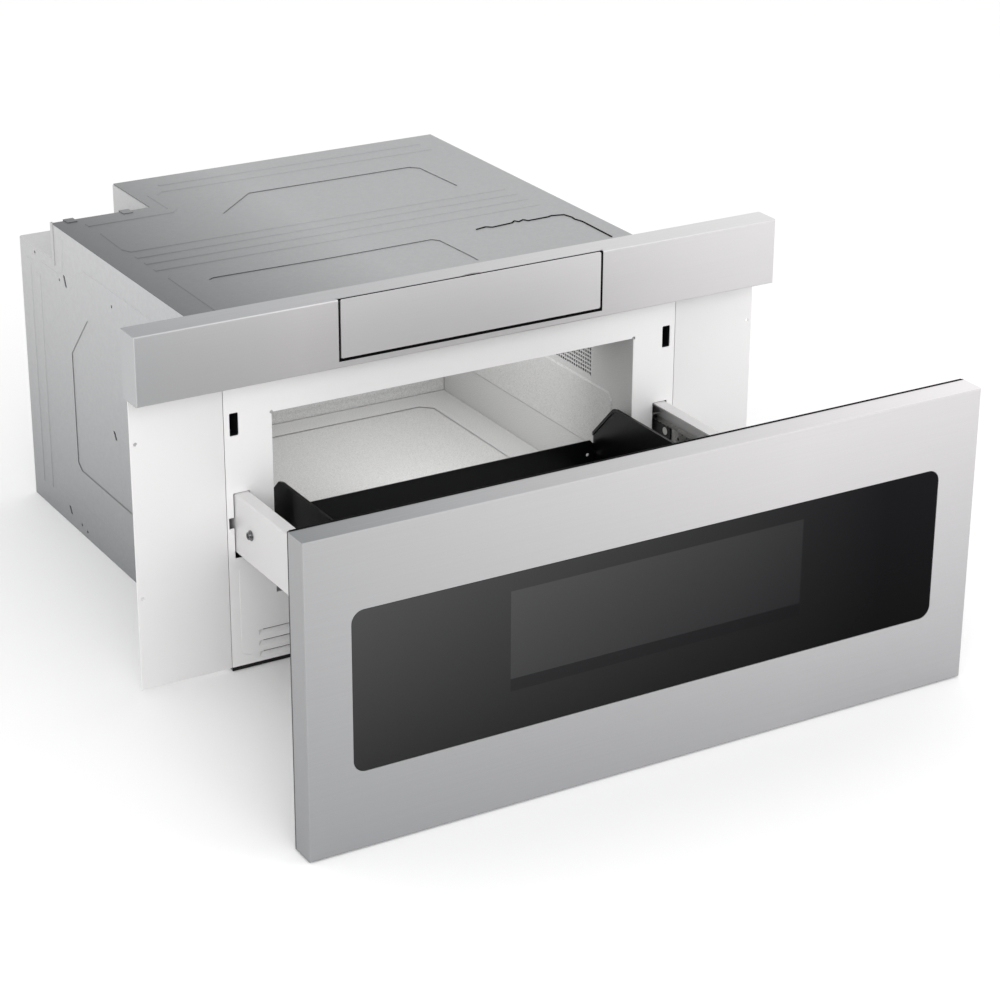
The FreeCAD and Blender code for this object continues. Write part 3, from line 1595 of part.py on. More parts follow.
def make_basket():
    """Make the black basket: two eared sides, a rear panel and a floor."""
    wall = D.basket_wall
    top = D.basket_top
    slope_end = basket_rear
    slope_start = basket_rear - D.ear_slope_length
    low_corner = top - D.ear_slope_drop
    outline = [
        (drawer_back, basket_bottom), (slope_end, basket_bottom), (slope_end, low_corner),
        (slope_start, top - 6.5), (slope_start - 5, top - 1.8), (slope_start - 13, top),
        (drawer_back, top),
    ]
    fold = D.basket_hem
    hem = [
        (drawer_back, top - fold), (slope_start - 14, top - fold),
        (slope_start - 7, top - 5.2), (slope_start - 2.5, top - 8.3),
        (slope_end, low_corner - 4.3),
    ] + outline[2:]
    inside = basket_half - wall
    hole_inset = 8.0
    hole_rise = 38.0
    hole_radius = 2.2
    pieces = []
    holes = []
    for side in SIDES.values():
        pieces.append(prism("x", across(side, inside, basket_half), outline))
        pieces.append(prism("x", across(side, basket_half - fold, inside), hem))
        holes.append(peg("y", (basket_rear - 3, basket_rear + 1),
                         (side * (inside - hole_inset), basket_bottom + hole_rise),
                         hole_radius, 8))
    rear_top = basket_bottom + D.rear_panel_height
    corner = 5.0
    rear = prism("y", (basket_rear - wall, basket_rear), [
        (-inside, basket_bottom), (inside, basket_bottom), (inside, rear_top - corner),
        (inside - corner, rear_top), (-inside + corner, rear_top), (-inside, rear_top - corner),
    ])
    floor = box((-inside, inside), (drawer_back, basket_rear - wall),
                (basket_bottom, basket_bottom + wall))
    keep("basket", cut(fuse(*pieces, rear, floor), *holes))


def make_tray():
    """Make the ceramic glass tray that lies on the basket floor."""
    inset = 6.0
    wall = D.basket_wall
    half = basket_half - wall - inset
    bottom = basket_bottom + wall
    pane = box((-half, half), (drawer_back + 10, basket_rear - wall - inset),
               (bottom, bottom + D.tray_thickness))
    keep("glass_tray", rounded(pane, 12.0, along("z")))


# -------------------------------------------------------------- control bar


def make_control_bar():
    """Make the stainless control bar, open at the back and cut out for the flap."""
    skin = D.stainless
    outside = box((-front_half, front_half), (bar_front, 0), (D.bar_bottom, bar_top))
    inside = box((-front_half + skin, front_half - skin), (bar_front + skin, 1),
                 (D.bar_bottom + skin, bar_top - skin))
    half = flap_opening_half
    opening = box((-half, half), (bar_front - 1, bar_front + D.flap_top_opening),
                  (flap_opening_bottom, bar_top + 1))
    relief_radius = 1.6
    tools = [inside, opening]
    for side in SIDES.values():
        corner = (side * half, bar_front + D.flap_top_opening)
        tools.append(peg("z", (bar_top - 2, bar_top + 1), corner, relief_radius, 8))
    finger_radius = 30.0
    finger_depth = 6.5
    tools.append(rod("z", (bar_top - 2, bar_top + 1),
                     (0, bar_front + finger_depth - finger_radius), finger_radius))
    face_box = rounded(outside, D.front_edge_radius, lies_on(y=bar_front))
    keep("control_bar", cut(face_box, *tools))


def make_control_bay():
    """Make the black tray behind the flap, with the ears that carry the hinge pins."""
    half = flap_half + 10
    skin = D.stainless
    tray = box((-half, half), (bar_front + 8, 0),
               (D.bar_bottom + skin, bar_top - skin))
    recess_half = flap_opening_half - 0.8
    recess = box((-recess_half, recess_half), (bar_front + 7, bar_front + 26),
                 (D.bar_bottom + 4, bar_top - 3.5))
    ears = []
    bores = []
    for side in SIDES.values():
        ear = across(side, flap_opening_half + 0.4, half)
        ears.append(box(ear, (bar_front + skin, bar_front + 9),
                        (D.bar_bottom + skin, flap_axis_z + 6)))
        bores.append(rod("x", across(side, flap_half, half + 1), (flap_axis_y, flap_axis_z),
                         D.hinge_pin_radius + D.bore_clearance))
    keep("control_bay", cut(fuse(cut(tray, recess), *ears), *bores))


def make_flap():
    """Make the control flap: a shallow stainless tray on two hinge pins."""
    skin = D.stainless
    face_back = bar_front + skin
    back = face_back + D.flap_return
    bottom = flap_bottom
    corner = 2.0
    knuckle = 9.0
    pin_reach = 7.0
    face = box((-flap_half, flap_half), (bar_front, face_back), (bottom, flap_top))
    pieces = [rounded(face, corner, along("y"))]
    for side in SIDES.values():
        pieces.append(box(across(side, flap_half - skin, flap_half), (face_back, back),
                          (bottom + corner, flap_top - corner)))
        pieces.append(rod("x", across(side, flap_half - knuckle, flap_half + pin_reach),
                          (flap_axis_y, flap_axis_z), D.hinge_pin_radius))
        pieces.append(box(across(side, flap_half - knuckle, flap_half), (face_back, flap_axis_y),
                          (bottom, flap_axis_z + D.hinge_pin_radius)))
    keep("control_flap", fuse(*pieces))
    glass_half = flap_half - knuckle - 0.5
    glass_sheet = 3.2
    glass = box((-glass_half, glass_half), (face_back, face_back + glass_sheet),
                (bottom + 4.5, flap_top - 4))
    keep("keypad_glass", rounded(glass, 3.0, along("y")))


# ------------------------------------------------------------------- output

BUILDERS = (
    make_base_pan, make_base_strip, make_side_panels, make_top_panel, make_rear_panel,
    make_rear_screws, make_recess, make_front_plate, make_flanges, make_cavity_liner,
    make_vent_screen, make_feed, make_stirrer, make_lamp, make_magnetron, make_fan,
    make_impeller, make_transformer, make_capacitor, make_filter_board, make_control_board,
    make_pinion, make_rack, make_gearmotor, make_fixed_rails, make_mid_rails,
    make_inner_rails, make_cages, make_arms, make_hooks, make_interlocks,
    make_drawer_front, make_glass, make_choke_box, make_window_screen, make_inner_panel,
    make_basket, make_tray, make_control_bar, make_control_bay, make_flap,
)


def check_document():
    """Stop if any object failed or any sub-part has a bad shape."""
    faults = []
    for thing in doc.Objects:
        if "Invalid" in thing.State or "Error" in thing.State:
            faults.append("%s failed" % thing.Label)
    for name, thing in NODES.items():
        shape = thing.Shape
        if shape.isNull() or not shape.isValid() or not shape.Solids:
            faults.append("%s has a bad shape" % name)
    if faults:
        raise RuntimeError("; ".join(faults))


def main():
    """Build every sub-part, check them all and write one file for each."""
    for builder in BUILDERS:
        builder()
    doc.recompute()
    check_document()
    os.makedirs("parts", exist_ok=True)
    for name, thing in NODES.items():
        thing.Shape.exportStep("parts/%s.step" % name)
        print("%-24s %2d solids" % (name, len(thing.Shape.Solids)))
    print("%d sub-parts" % len(NODES))


main()
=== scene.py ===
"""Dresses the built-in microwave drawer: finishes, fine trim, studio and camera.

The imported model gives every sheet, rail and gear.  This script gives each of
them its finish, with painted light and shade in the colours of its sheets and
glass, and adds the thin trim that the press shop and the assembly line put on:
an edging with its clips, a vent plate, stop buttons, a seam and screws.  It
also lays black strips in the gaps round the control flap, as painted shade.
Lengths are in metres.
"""
from __future__ import annotations

import logging
import math
from dataclasses import dataclass
from enum import Enum, auto
from typing import Callable, Iterable, Sequence

import bpy
from mathutils import Matrix, Vector

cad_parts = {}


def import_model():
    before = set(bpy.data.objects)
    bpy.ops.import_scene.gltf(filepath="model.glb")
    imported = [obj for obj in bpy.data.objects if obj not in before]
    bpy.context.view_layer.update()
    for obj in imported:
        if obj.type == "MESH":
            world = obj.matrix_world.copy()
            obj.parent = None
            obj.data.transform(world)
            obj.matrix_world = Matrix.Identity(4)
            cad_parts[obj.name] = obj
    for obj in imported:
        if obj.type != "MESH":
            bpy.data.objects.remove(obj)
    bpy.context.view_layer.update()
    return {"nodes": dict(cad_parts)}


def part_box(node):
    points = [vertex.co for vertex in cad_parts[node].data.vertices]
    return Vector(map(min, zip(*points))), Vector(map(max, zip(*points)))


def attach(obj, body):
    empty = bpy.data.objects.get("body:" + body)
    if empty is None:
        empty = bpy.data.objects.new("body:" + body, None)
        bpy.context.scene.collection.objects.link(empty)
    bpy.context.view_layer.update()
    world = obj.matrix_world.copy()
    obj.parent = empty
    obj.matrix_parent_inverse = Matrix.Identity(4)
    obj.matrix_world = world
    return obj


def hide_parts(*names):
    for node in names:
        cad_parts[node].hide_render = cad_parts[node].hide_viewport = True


LOG = logging.getLogger("microwave_drawer")
MM = 0.001
ALIGNED = 0.99   # the cosine from which a face counts as looking along an axis
NEARNESS = 0.05 * MM   # how far a face may lie from the place that is asked for
Test = Callable[[Vector, Vector], bool]
Span = tuple[str, float, float]


class Side(Enum):
    """The two sides of the oven, as one faces its front."""

    LEFT = -1
    RIGHT = 1

    @property
    def label(self) -> str:
        """Return the side's name in lower case."""
        return self.name.lower()


class Axis(Enum):
    """The three axes of the oven's frame."""

    X = (1.0, 0.0, 0.0)
    Y = (0.0, 1.0, 0.0)
    Z = (0.0, 0.0, 1.0)

    @property
    def vector(self) -> Vector:
        """Return the axis as a vector."""
        return Vector(self.value)


# ---------------------------------------------------------------- node trees


def linear(code: str) -> tuple[float, float, float, float]:
    """Turn an sRGB hex code into a linear colour.

    Args:
        code: The colour as #RRGGBB.

    Returns:
        The linear red, green and blue, and a full alpha.
    """
    knee, slope, offset, power = 0.04045, 12.92, 0.055, 2.4   # the sRGB curve
    channels = []
    for start in (1, 3, 5):
        value = int(code[start:start + 2], 16) / 255
        channels.append(value / slope if value <= knee
                        else ((value + offset) / (1 + offset)) ** power)
    return (channels[0], channels[1], channels[2], 1.0)


def add_node(tree: bpy.types.NodeTree, kind: str, settings: dict | None = None,
             links: dict | None = None) -> bpy.types.Node:
    """Add one shader node with its settings and links.

    Args:
        tree: The node tree that it goes into.
        kind: The node's Blender type.
        settings: Values by attribute name, or by input name or number.
        links: Output sockets by input name or number.

    Returns:
        The new node.
    """
    node = tree.nodes.new(kind)
    for name, value in (settings or {}).items():
        if isinstance(name, str) and hasattr(node, name):
            setattr(node, name, value)
        else:
            node.inputs[name].default_value = value
    for name, socket in (links or {}).items():
        tree.links.new(socket, node.inputs[name])
    return node


class Shader:
    """A material's node tree with its principled shader and object coordinates."""

    def __init__(self, name: str, colour: str, metallic: float, roughness: float) -> None:
        """Start a material.

        Args:
            name: The finish's name.
            colour: Its base colour as sRGB hex.
            metallic: 1 for bare metal, 0 for anything else.
            roughness: The shader's roughness.
        """
        self.material = bpy.data.materials.new(name)
        self.material.use_nodes = True
        self.tree = self.material.node_tree
        self.surface = self.tree.nodes["Principled BSDF"]
        self.surface.inputs["Base Color"].default_value = linear(colour)
        self.surface.inputs["Metallic"].default_value = metallic
        self.surface.inputs["Roughness"].default_value = roughness
        self.place = self.add("ShaderNodeTexCoord").outputs["Object"]

    def add(self, kind: str, settings: dict | None = None,
            links: dict | None = None) -> bpy.types.Node:
        """Add a node to this material; see add_node."""
        return add_node(self.tree, kind, settings, links)

    def feed(self, socket: str, source: bpy.types.NodeSocket) -> None:
        """Link an output to one of the principled shader's inputs."""
        self.tree.links.new(source, self.surface.inputs[socket])

    def stretched(self, cell: Sequence[float]) -> bpy.types.NodeSocket:
        """Return object coordinates divided by a cell size in metres on each axis."""
        scale = tuple(1 / size for size in cell)
        return self.add("ShaderNodeMapping", {"Scale": scale},
                        {"Vector": self.place}).outputs["Vector"]

    def noise(self, cell: Sequence[float], detail: float = 2.0) -> bpy.types.NodeSocket:
        """Return noise from 0 to 1 whose cells have a given size in metres."""
        return self.add("ShaderNodeTexNoise", {"Scale": 1.0, "Detail": detail},
                        {"Vector": self.stretched(cell)}).outputs["Fac"]

    def axis(self, name: str) -> bpy.types.NodeSocket:
        """Return one object coordinate, named X, Y or Z."""
        return self.add("ShaderNodeSeparateXYZ", None, {"Vector": self.place}).outputs[name]

    def between(self, factor: bpy.types.NodeSocket, low: float, high: float,
                start: float = 0.3, end: float = 0.7) -> bpy.types.NodeSocket:
        """Return a number between low and high as the factor goes from start to end."""
        return self.add("ShaderNodeMapRange", {"From Min": start, "From Max": end,
                                               "To Min": low, "To Max": high},
                        {"Value": factor}).outputs["Result"]

    def product(self, first: bpy.types.NodeSocket,
                second: bpy.types.NodeSocket) -> bpy.types.NodeSocket:
        """Return two numbers multiplied."""
        return self.add("ShaderNodeMath", {"operation": "MULTIPLY"},
                        {0: first, 1: second}).outputs[0]

    def band(self, name: str, low: float, high: float) -> bpy.types.NodeSocket:
        """Return 1 where an object coordinate lies between two places, else 0."""
        settings = {"operation": "COMPARE", 1: (low + high) / 2, 2: (high - low) / 2}
        return self.add("ShaderNodeMath", settings, {0: self.axis(name)}).outputs[0]

    def along(self, name: str, low: float, high: float) -> bpy.types.NodeSocket:
        """Return a number from 0 to 1 as an object coordinate goes from low to high."""
        return self.between(self.axis(name), 0.0, 1.0, low, high)

    def darkened(self, colour: bpy.types.NodeSocket, mask: bpy.types.NodeSocket,
                 code: str) -> bpy.types.NodeSocket:
        """Return a colour multiplied by an sRGB hex value where a mask is set."""
        mix = self.add("ShaderNodeMix", {"data_type": "RGBA", "blend_type": "MULTIPLY"},
                       {0: mask, 6: colour})
        mix.inputs[7].default_value = linear(code)
        return mix.outputs[2]

    def tint(self, factor: bpy.types.NodeSocket, first: str, second: str) -> bpy.types.NodeSocket:
        """Return a colour mixed from two sRGB hex values by a factor."""
        mix = self.add("ShaderNodeMix", {"data_type": "RGBA"}, {0: factor})
        mix.inputs[6].default_value = linear(first)
        mix.inputs[7].default_value = linear(second)
        return mix.outputs[2]

    def blend(self, factor: bpy.types.NodeSocket, first: bpy.types.NodeSocket,
              second: bpy.types.NodeSocket) -> bpy.types.NodeSocket:
        """Return a colour mixed from two colour outputs by a factor."""
        return self.add("ShaderNodeMix", {"data_type": "RGBA"},
                        {0: factor, 6: first, 7: second}).outputs[2]

    def bump(self, height: bpy.types.NodeSocket, depth: float) -> None:
        """Give the surface a relief of a given depth in metres."""
        relief = self.add("ShaderNodeBump", {"Strength": 1.0, "Distance": depth},
                          {"Height": height})
        self.feed("Normal", relief.outputs["Normal"])


# ------------------------------------------------------------------ finishes


@dataclass(frozen=True)
class Gleam:
    """Painted light and shade on a sheet: a tone that drifts from corner to corner.

    Attributes:
        across: The first direction, with the places where its tones start and end.
        along: The second direction, likewise.
        near: The tones at both ends of the first direction, where the second starts.
        far: The same two, where the second ends.
    """

    across: Span
    along: Span
    near: tuple[str, str]
    far: tuple[str, str]

    def colour(self, shader: Shader) -> bpy.types.NodeSocket:
        """Return the tone blended from the four corner colours."""
        across = shader.along(*self.across)
        near = shader.tint(across, *self.near)
        far = shader.tint(across, *self.far)
        return shader.blend(shader.along(*self.along), near, far)


@dataclass(frozen=True)
class BrushedStainless:
    """Stainless sheet brushed along its length: hair-thin streaks, and a broad soft gleam painted
    into its colour.
    """

    name: str
    gleam: Gleam
    painted_top_light: Gleam
    rim_level: float
    base: str = "#C4C4C5"
    streak: str = "#F9F9F9"
    metallic: float = 0.5
    roughness: float = 0.46
    smoother: float = 0.03
    rougher: float = 0.04
    streak_width: float = 0.5 * MM   # real brush lines are 0.05 mm, too fine to show
    streak_depth: float = 2 * MM
    streak_length: float = 120 * MM
    relief: float = 0.0015 * MM
    rim_depth: float = 0.2 * MM

    def material(self) -> bpy.types.Material:
        """Build the finish, with a painted highlight on its top face that pales from left to
        right.
        """
        shader = Shader(self.name, self.base, self.metallic, self.roughness)
        streaks = shader.noise((self.streak_length, self.streak_depth, self.streak_width))
        on_rim = shader.along("Z", self.rim_level - self.rim_depth, self.rim_level)
        # painted light across the sheet, and a painted highlight on its top face
        tone = shader.blend(on_rim, self.gleam.colour(shader), self.painted_top_light.colour(shader))
        shader.feed("Base Color", shader.darkened(tone, streaks, self.streak))
        shader.feed("Roughness", shader.between(streaks, self.roughness - self.smoother,
                                                self.roughness + self.rougher))
        shader.bump(streaks, self.relief)
        return shader.material


@dataclass(frozen=True)
class GalvanisedSheet:
    """Electro-galvanised steel: a mid grey with a barely seen zinc spangle, and painted light and
    shade drifting across it.
    """

    name: str
    gleam: Gleam
    base: str = "#B4B6B8"
    spangle_tone: str = "#F9F9F9"
    metallic: float = 0.5
    roughness: float = 0.42
    spangle: float = 4 * MM

    def material(self) -> bpy.types.Material:
        """Build the finish."""
        shader = Shader(self.name, self.base, self.metallic, self.roughness)
        cell = (self.spangle, self.spangle, self.spangle)
        crystals = shader.add("ShaderNodeTexVoronoi", {"Scale": 1.0},
                              {"Vector": shader.stretched(cell)})
        level = shader.add("ShaderNodeSeparateColor", None,
                           {"Color": crystals.outputs["Color"]}).outputs["Red"]
        # painted light and shade that drift across the sheet
        tone = self.gleam.colour(shader)
        shader.feed("Base Color", shader.darkened(tone, level, self.spangle_tone))
        return shader.material


@dataclass(frozen=True)
class Enamel:
    """Stove enamel on steel: even colour, a soft gloss and a very fine orange peel."""

    name: str
    colour: str
    roughness: float = 0.35
    peel: float = 1.6 * MM
    peel_depth: float = 0.01 * MM
    gloss: float = 0.5

    def material(self) -> bpy.types.Material:
        """Build the finish."""
        shader = Shader(self.name, self.colour, 0.0, self.roughness)
        shader.surface.inputs["Specular IOR Level"].default_value = self.gloss
        peel = shader.noise((self.peel, self.peel, self.peel))
        shader.bump(peel, self.peel_depth)
        return shader.material


@dataclass(frozen=True)
class SpeckledEnamel:
    """Easy-clean cavity enamel: light grey with fine darker and lighter grains."""

    colour: str = "#C6C6C5"
    dark_grain: str = "#AAAAAA"
    roughness: float = 0.45
    grain: float = 1.1 * MM   # the real grains are 0.3 mm, too fine to show
    detail: float = 3.0
    grain_edge: tuple[float, float] = (0.42, 0.66)
    relief: float = 0.02 * MM

    def material(self) -> bpy.types.Material:
        """Build the finish."""
        shader = Shader("speckled_enamel", self.colour, 0.0, self.roughness)
        grains = shader.noise((self.grain, self.grain, self.grain), self.detail)
        mask = shader.between(grains, 0.0, 1.0, *self.grain_edge)
        shader.feed("Base Color", shader.tint(mask, self.colour, self.dark_grain))
        shader.bump(grains, self.relief)
        return shader.material


@dataclass(frozen=True)
class TintedGlass:
    """Black-printed glass with a smoked window over a perforated screen.

    It is nearly mirror-smooth but dull where printed, so it reads as a flat dark
    field, with the paler window and a painted band of sill shadow along its foot.
    A painted reflection pales the field and the window towards the upper left.
    """

    base: str = "#101012"
    roughness: float = 0.07
    gloss: float = 0.05
    window_half_width: float = 167 * MM
    window_bottom: float = 124 * MM
    screen_bottom: float = 137 * MM
    window_top: float = 228 * MM
    # the black print, with a painted reflection that pales it towards the upper left
    print_and_reflection: Gleam = Gleam(("X", -334 * MM, 270 * MM), ("Z", 82 * MM, 246 * MM),
                              ("#292929", "#020203"), ("#404040", "#0E0E11"))
    # the smoked window, with a painted reflection that pales it towards the upper left
    screen_and_reflection: Gleam = Gleam(("X", -167 * MM, 167 * MM), ("Z", 124 * MM, 228 * MM),
                               ("#353536", "#1D1D1F"), ("#424242", "#2B2B2C"))
    hole_tone: str = "#5A5A5C"
    # a painted shadow under the window's sill darkens a band along its foot
    sill_shadow_tone: str = "#B4B4B6"
    hole_pitch: float = 2.6 * MM   # the real holes stand 1.6 mm apart, too fine to show
    hole_edge: tuple[float, float] = (0.28, 0.40)
    first_holes: float = 95 * MM   # the holes are seen from here to the window's right end

    def material(self) -> bpy.types.Material:
        """Build the finish."""
        shader = Shader("tinted_glass", self.base, 0.0, self.roughness)
        shader.surface.inputs["Specular IOR Level"].default_value = self.gloss
        cell = (self.hole_pitch, self.hole_pitch, self.hole_pitch)
        holes = shader.add("ShaderNodeTexVoronoi", {"Scale": 1.0, "Randomness": 0.0},
                           {"Vector": shader.stretched(cell)})
        ring = shader.between(holes.outputs["Distance"], 1.0, 0.0, *self.hole_edge)
        seen = shader.along("X", self.first_holes, self.window_half_width)
        screen = shader.darkened(self.screen_and_reflection.colour(shader), shader.product(ring, seen),
                                 self.hole_tone)
        # painted sill shadow along the window's foot
        sill_shadow = shader.band("Z", self.window_bottom, self.screen_bottom)
        window = shader.darkened(screen, sill_shadow, self.sill_shadow_tone)
        inside = shader.product(shader.band("X", -self.window_half_width, self.window_half_width),
                                shader.band("Z", self.window_bottom, self.window_top))
        around = self.print_and_reflection.colour(shader)
        shader.feed("Base Color", shader.blend(inside, around, window))
        return shader.material


@dataclass(frozen=True)
class Plain:
    """A moulded, plated or cast finish with a slight unevenness of its gloss."""

    name: str
    colour: str
    roughness: float
    metallic: float = 0.0
    grain: float = 3 * MM
    gloss: float = 0.5
    smoother: float = 0.05
    rougher: float = 0.07
    relief: float = 0.01 * MM

    def material(self) -> bpy.types.Material:
        """Build the finish."""
        shader = Shader(self.name, self.colour, self.metallic, self.roughness)
        shader.surface.inputs["Specular IOR Level"].default_value = self.gloss
        haze = shader.noise((self.grain, self.grain, self.grain))
        shader.feed("Roughness", shader.between(haze, self.roughness - self.smoother,
                                                self.roughness + self.rougher))
        shader.bump(haze, self.relief)
        return shader.material


class Finish(Enum):
    """The finishes that the oven's pieces wear."""

    BAR_STEEL = auto()
    LIGHTENED_FLAP_STEEL = auto()
    FRONT_STEEL = auto()
    SIDE_SHEET = auto()
    TOP_SHEET = auto()
    WHITE = auto()
    SHADED_FLANGE = auto()
    ARM = auto()
    CAVITY = auto()
    BLACK = auto()
    GLASS = auto()
    KEY_GLASS = auto()
    ZINC = auto()
    SCREW_STEEL = auto()
    BLACK_PLASTIC = auto()
    WHITE_PLASTIC = auto()
    FOAM = auto()
    RUBBER = auto()
    MICA = auto()
    MOTOR = auto()
    ALUMINIUM = auto()
    COPPER = auto()
    BOARD = auto()
    TRAY = auto()


FRONT_WIDTH: Span = ("X", -381 * MM, 381 * MM)
BAR_DEPTH: Span = ("Y", -32 * MM, 0.0)
DRAWER_DEPTH: Span = ("Y", -391 * MM, -363 * MM)
CASING_DEPTH: Span = ("Y", 0.0, 551 * MM)


class Palette:
    """Every finish of the oven, and the nodes that carry each."""

    RECIPES: dict[Finish, object] = {
        # Stainless sheet, brushed lengthways and folded: a silky grey with painted light that
        # lightens it to the right, and a painted highlight on its top face.
        Finish.BAR_STEEL: BrushedStainless(
            "brushed_bar_steel",
            Gleam(("X", -381 * MM, -200 * MM), ("Z", 329 * MM, 402 * MM),
                  ("#B5B6B7", "#D2D0D1"), ("#B8B9BA", "#D6D4D5")),
            Gleam(FRONT_WIDTH, BAR_DEPTH, ("#9C9DA0", "#E0DFDF"), ("#9C9DA0", "#E0DFDF")),
            402.4 * MM),
        # The same sheet on the flap, painted a shade paler to offset the shade that the open
        # drawer casts on it, with painted light across it and a painted highlight on its top
        # face.
        Finish.LIGHTENED_FLAP_STEEL: BrushedStainless(
            "lightened_flap_steel",
            Gleam(FRONT_WIDTH, ("Z", 339 * MM, 402 * MM),
                  ("#D3D2D3", "#DEDCDD"), ("#D5D4D5", "#DFDDDE")),
            Gleam(FRONT_WIDTH, BAR_DEPTH, ("#C9C9CA", "#E9E8E8"), ("#C9C9CA", "#E9E8E8")),
            401.9 * MM),
        # The same sheet drawn into the drawer's shell, with painted shade that darkens it at its
        # foot and left end, and a painted highlight on its top face.
        Finish.FRONT_STEEL: BrushedStainless(
            "brushed_front_steel",
            Gleam(("X", -381 * MM, 160 * MM), ("Z", 1.5 * MM, 325 * MM),
                  ("#939496", "#A5A5A7"), ("#A2A2A3", "#C9C7C8")),
            Gleam(FRONT_WIDTH, DRAWER_DEPTH, ("#838688", "#F0EDEE"), ("#838688", "#F0EDEE")),
            324.8 * MM),
        # Zinc-coated pressed steel: a cool grey, with painted light that pales it towards the top
        # and back.
        Finish.SIDE_SHEET: GalvanisedSheet(
            "galvanised_side_sheet",
            Gleam(CASING_DEPTH, ("Z", 0.0, 367 * MM),
                  ("#8C8E90", "#8E9092"), ("#BDBEC0", "#C8C8C8"))),
        # The same steel lying flat: darker at its left edge, where less light comes in.
        Finish.TOP_SHEET: GalvanisedSheet(
            "galvanised_top_sheet",
            Gleam(("X", -273 * MM, -20 * MM), CASING_DEPTH,
                  ("#646668", "#AAABAC"), ("#5C5E60", "#A6A7A8"))),
        # Sprayed and stoved enamels on steel: flat whites with a faint soft gloss.
        Finish.WHITE: Enamel("white_enamel", "#F6F5F5"),
        # The flanges wear the white enamel painted a little darker: painted shade that offsets
        # the plate light falling on them.
        Finish.SHADED_FLANGE: Enamel("shaded_flange_enamel", "#EAE9E9"),
        Finish.ARM: Enamel("arm_enamel", "#DAD9D9", 0.3),
        # Fired enamel of the cavity: pale grey and finely grained.
        Finish.CAVITY: SpeckledEnamel(),
        # Black enamel of the basket: deep, with hardly a highlight.
        Finish.BLACK: Enamel("black_enamel", "#050507", 0.35, gloss=0.25),
        # Printed float glass of the drawer: a dark field with a smoked window, a painted
        # reflection and a painted sill shadow.
        Finish.GLASS: TintedGlass(),
        # Tempered glass of the keypad: black and mirror-smooth.
        Finish.KEY_GLASS: Plain("smoked_key_glass", "#101012", 0.08),
        # Zinc plating on rails: a bright, slightly warm metal.
        Finish.ZINC: Plain("zinc_plate", "#D2D2CF", 0.3, 1.0),
        # Blackened steel of the arm screws: dark metal with sharp small highlights.
        Finish.SCREW_STEEL: Plain("blackened_screw_steel", "#77787A", 0.22, 1.0),
        # Moulded plastics: even colour and a dull, slightly uneven gloss.
        Finish.BLACK_PLASTIC: Plain("moulded_black_plastic", "#151516", 0.45),
        Finish.WHITE_PLASTIC: Plain("moulded_white_plastic", "#E6E5E1", 0.42),
        # Cut foam and extruded rubber: black that swallows the light.
        Finish.FOAM: Plain("closed_cell_foam", "#0B0B0B", 0.9),
        Finish.RUBBER: Plain("black_seal_rubber", "#020202", 0.8, gloss=0.1),
        # Pressed mica: a dull warm grey.
        Finish.MICA: Plain("mica_sheet", "#B9B3A4", 0.6),
        # Cast and painted motor housings: plain mid grey.
        Finish.MOTOR: Plain("grey_cast_housing", "#6B6C6E", 0.5),
        # Mill aluminium as rolled: a pale, broadly gleaming metal.
        Finish.ALUMINIUM: Plain("mill_aluminium", "#C9CACB", 0.38, 1.0),
        # Varnished copper windings: a warm brown metal.
        Finish.COPPER: Plain("varnished_copper", "#A5562B", 0.4, 0.8),
        # Solder mask on the circuit boards: a dark satin green.
        Finish.BOARD: Plain("solder_mask", "#1E4A2B", 0.4),
        # Pressed glass-ceramic of the tray: white and shiny.
        Finish.TRAY: Plain("white_glass_ceramic", "#E9EBEA", 0.15),
    }

    WEARERS: dict[Finish, tuple[str, ...]] = {
        Finish.BAR_STEEL: ("control_bar",),
        Finish.LIGHTENED_FLAP_STEEL: ("control_flap",),
        Finish.FRONT_STEEL: ("drawer_front",),
        Finish.SIDE_SHEET: ("left_side_panel", "right_side_panel", "rear_panel", "base_pan",
                            "recess_cover", "waveguide", "choke_box"),
        Finish.TOP_SHEET: ("top_panel", "cover_clips"),
        Finish.WHITE: ("front_plate",),
        Finish.SHADED_FLANGE: ("left_flange", "right_flange"),
        Finish.ARM: ("left_arm", "right_arm"),
        Finish.CAVITY: ("cavity_liner", "cavity_vent_screen"),
        Finish.BLACK: ("basket", "drawer_inner_panel", "window_screen"),
        Finish.GLASS: ("drawer_glass",),
        Finish.KEY_GLASS: ("keypad_glass",),
        Finish.ZINC: ("left_fixed_rail", "right_fixed_rail", "left_mid_rail", "right_mid_rail",
                      "inner_rails", "arm_screws", "rear_panel_screws", "cavity_lamp"),
        Finish.BLACK_PLASTIC: ("outer_roller_cages", "inner_roller_cages",
                               "interlock_housings", "control_bay", "cord_inlet_bushing",
                               "cooling_fan_housing", "choke_cover", "magnetron_air_duct"),
        Finish.WHITE_PLASTIC: ("latch_hooks", "left_interlock_plunger",
                               "right_interlock_plunger", "drive_rack", "drive_pinion",
                               "rack_guide", "fan_impeller"),
        Finish.FOAM: ("base_strip",),
        Finish.MICA: ("stirrer_cover",),
        Finish.MOTOR: ("stirrer_motor", "fan_motor", "drive_gearmotor"),
        Finish.ALUMINIUM: ("magnetron", "stirrer_blade", "hv_capacitor"),
        Finish.COPPER: ("hv_transformer",),
        Finish.BOARD: ("noise_filter_board", "control_board"),
        Finish.TRAY: ("glass_tray",),
    }

    def __init__(self) -> None:
        """Build every finish once."""
        self.finish = {name: recipe.material() for name, recipe in self.RECIPES.items()}

    def dress(self, nodes: dict[str, bpy.types.Object]) -> None:
        """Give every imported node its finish.

        Args:
            nodes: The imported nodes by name.
        """
        for finish, names in self.WEARERS.items():
            for name in names:
                if name in nodes:
                    mesh = nodes[name].data
                    mesh.materials.clear()
                    mesh.materials.append(self.finish[finish])
                    LOG.info("%s wears %s", name, finish.name.lower())


# --------------------------------------------------------------- the bench


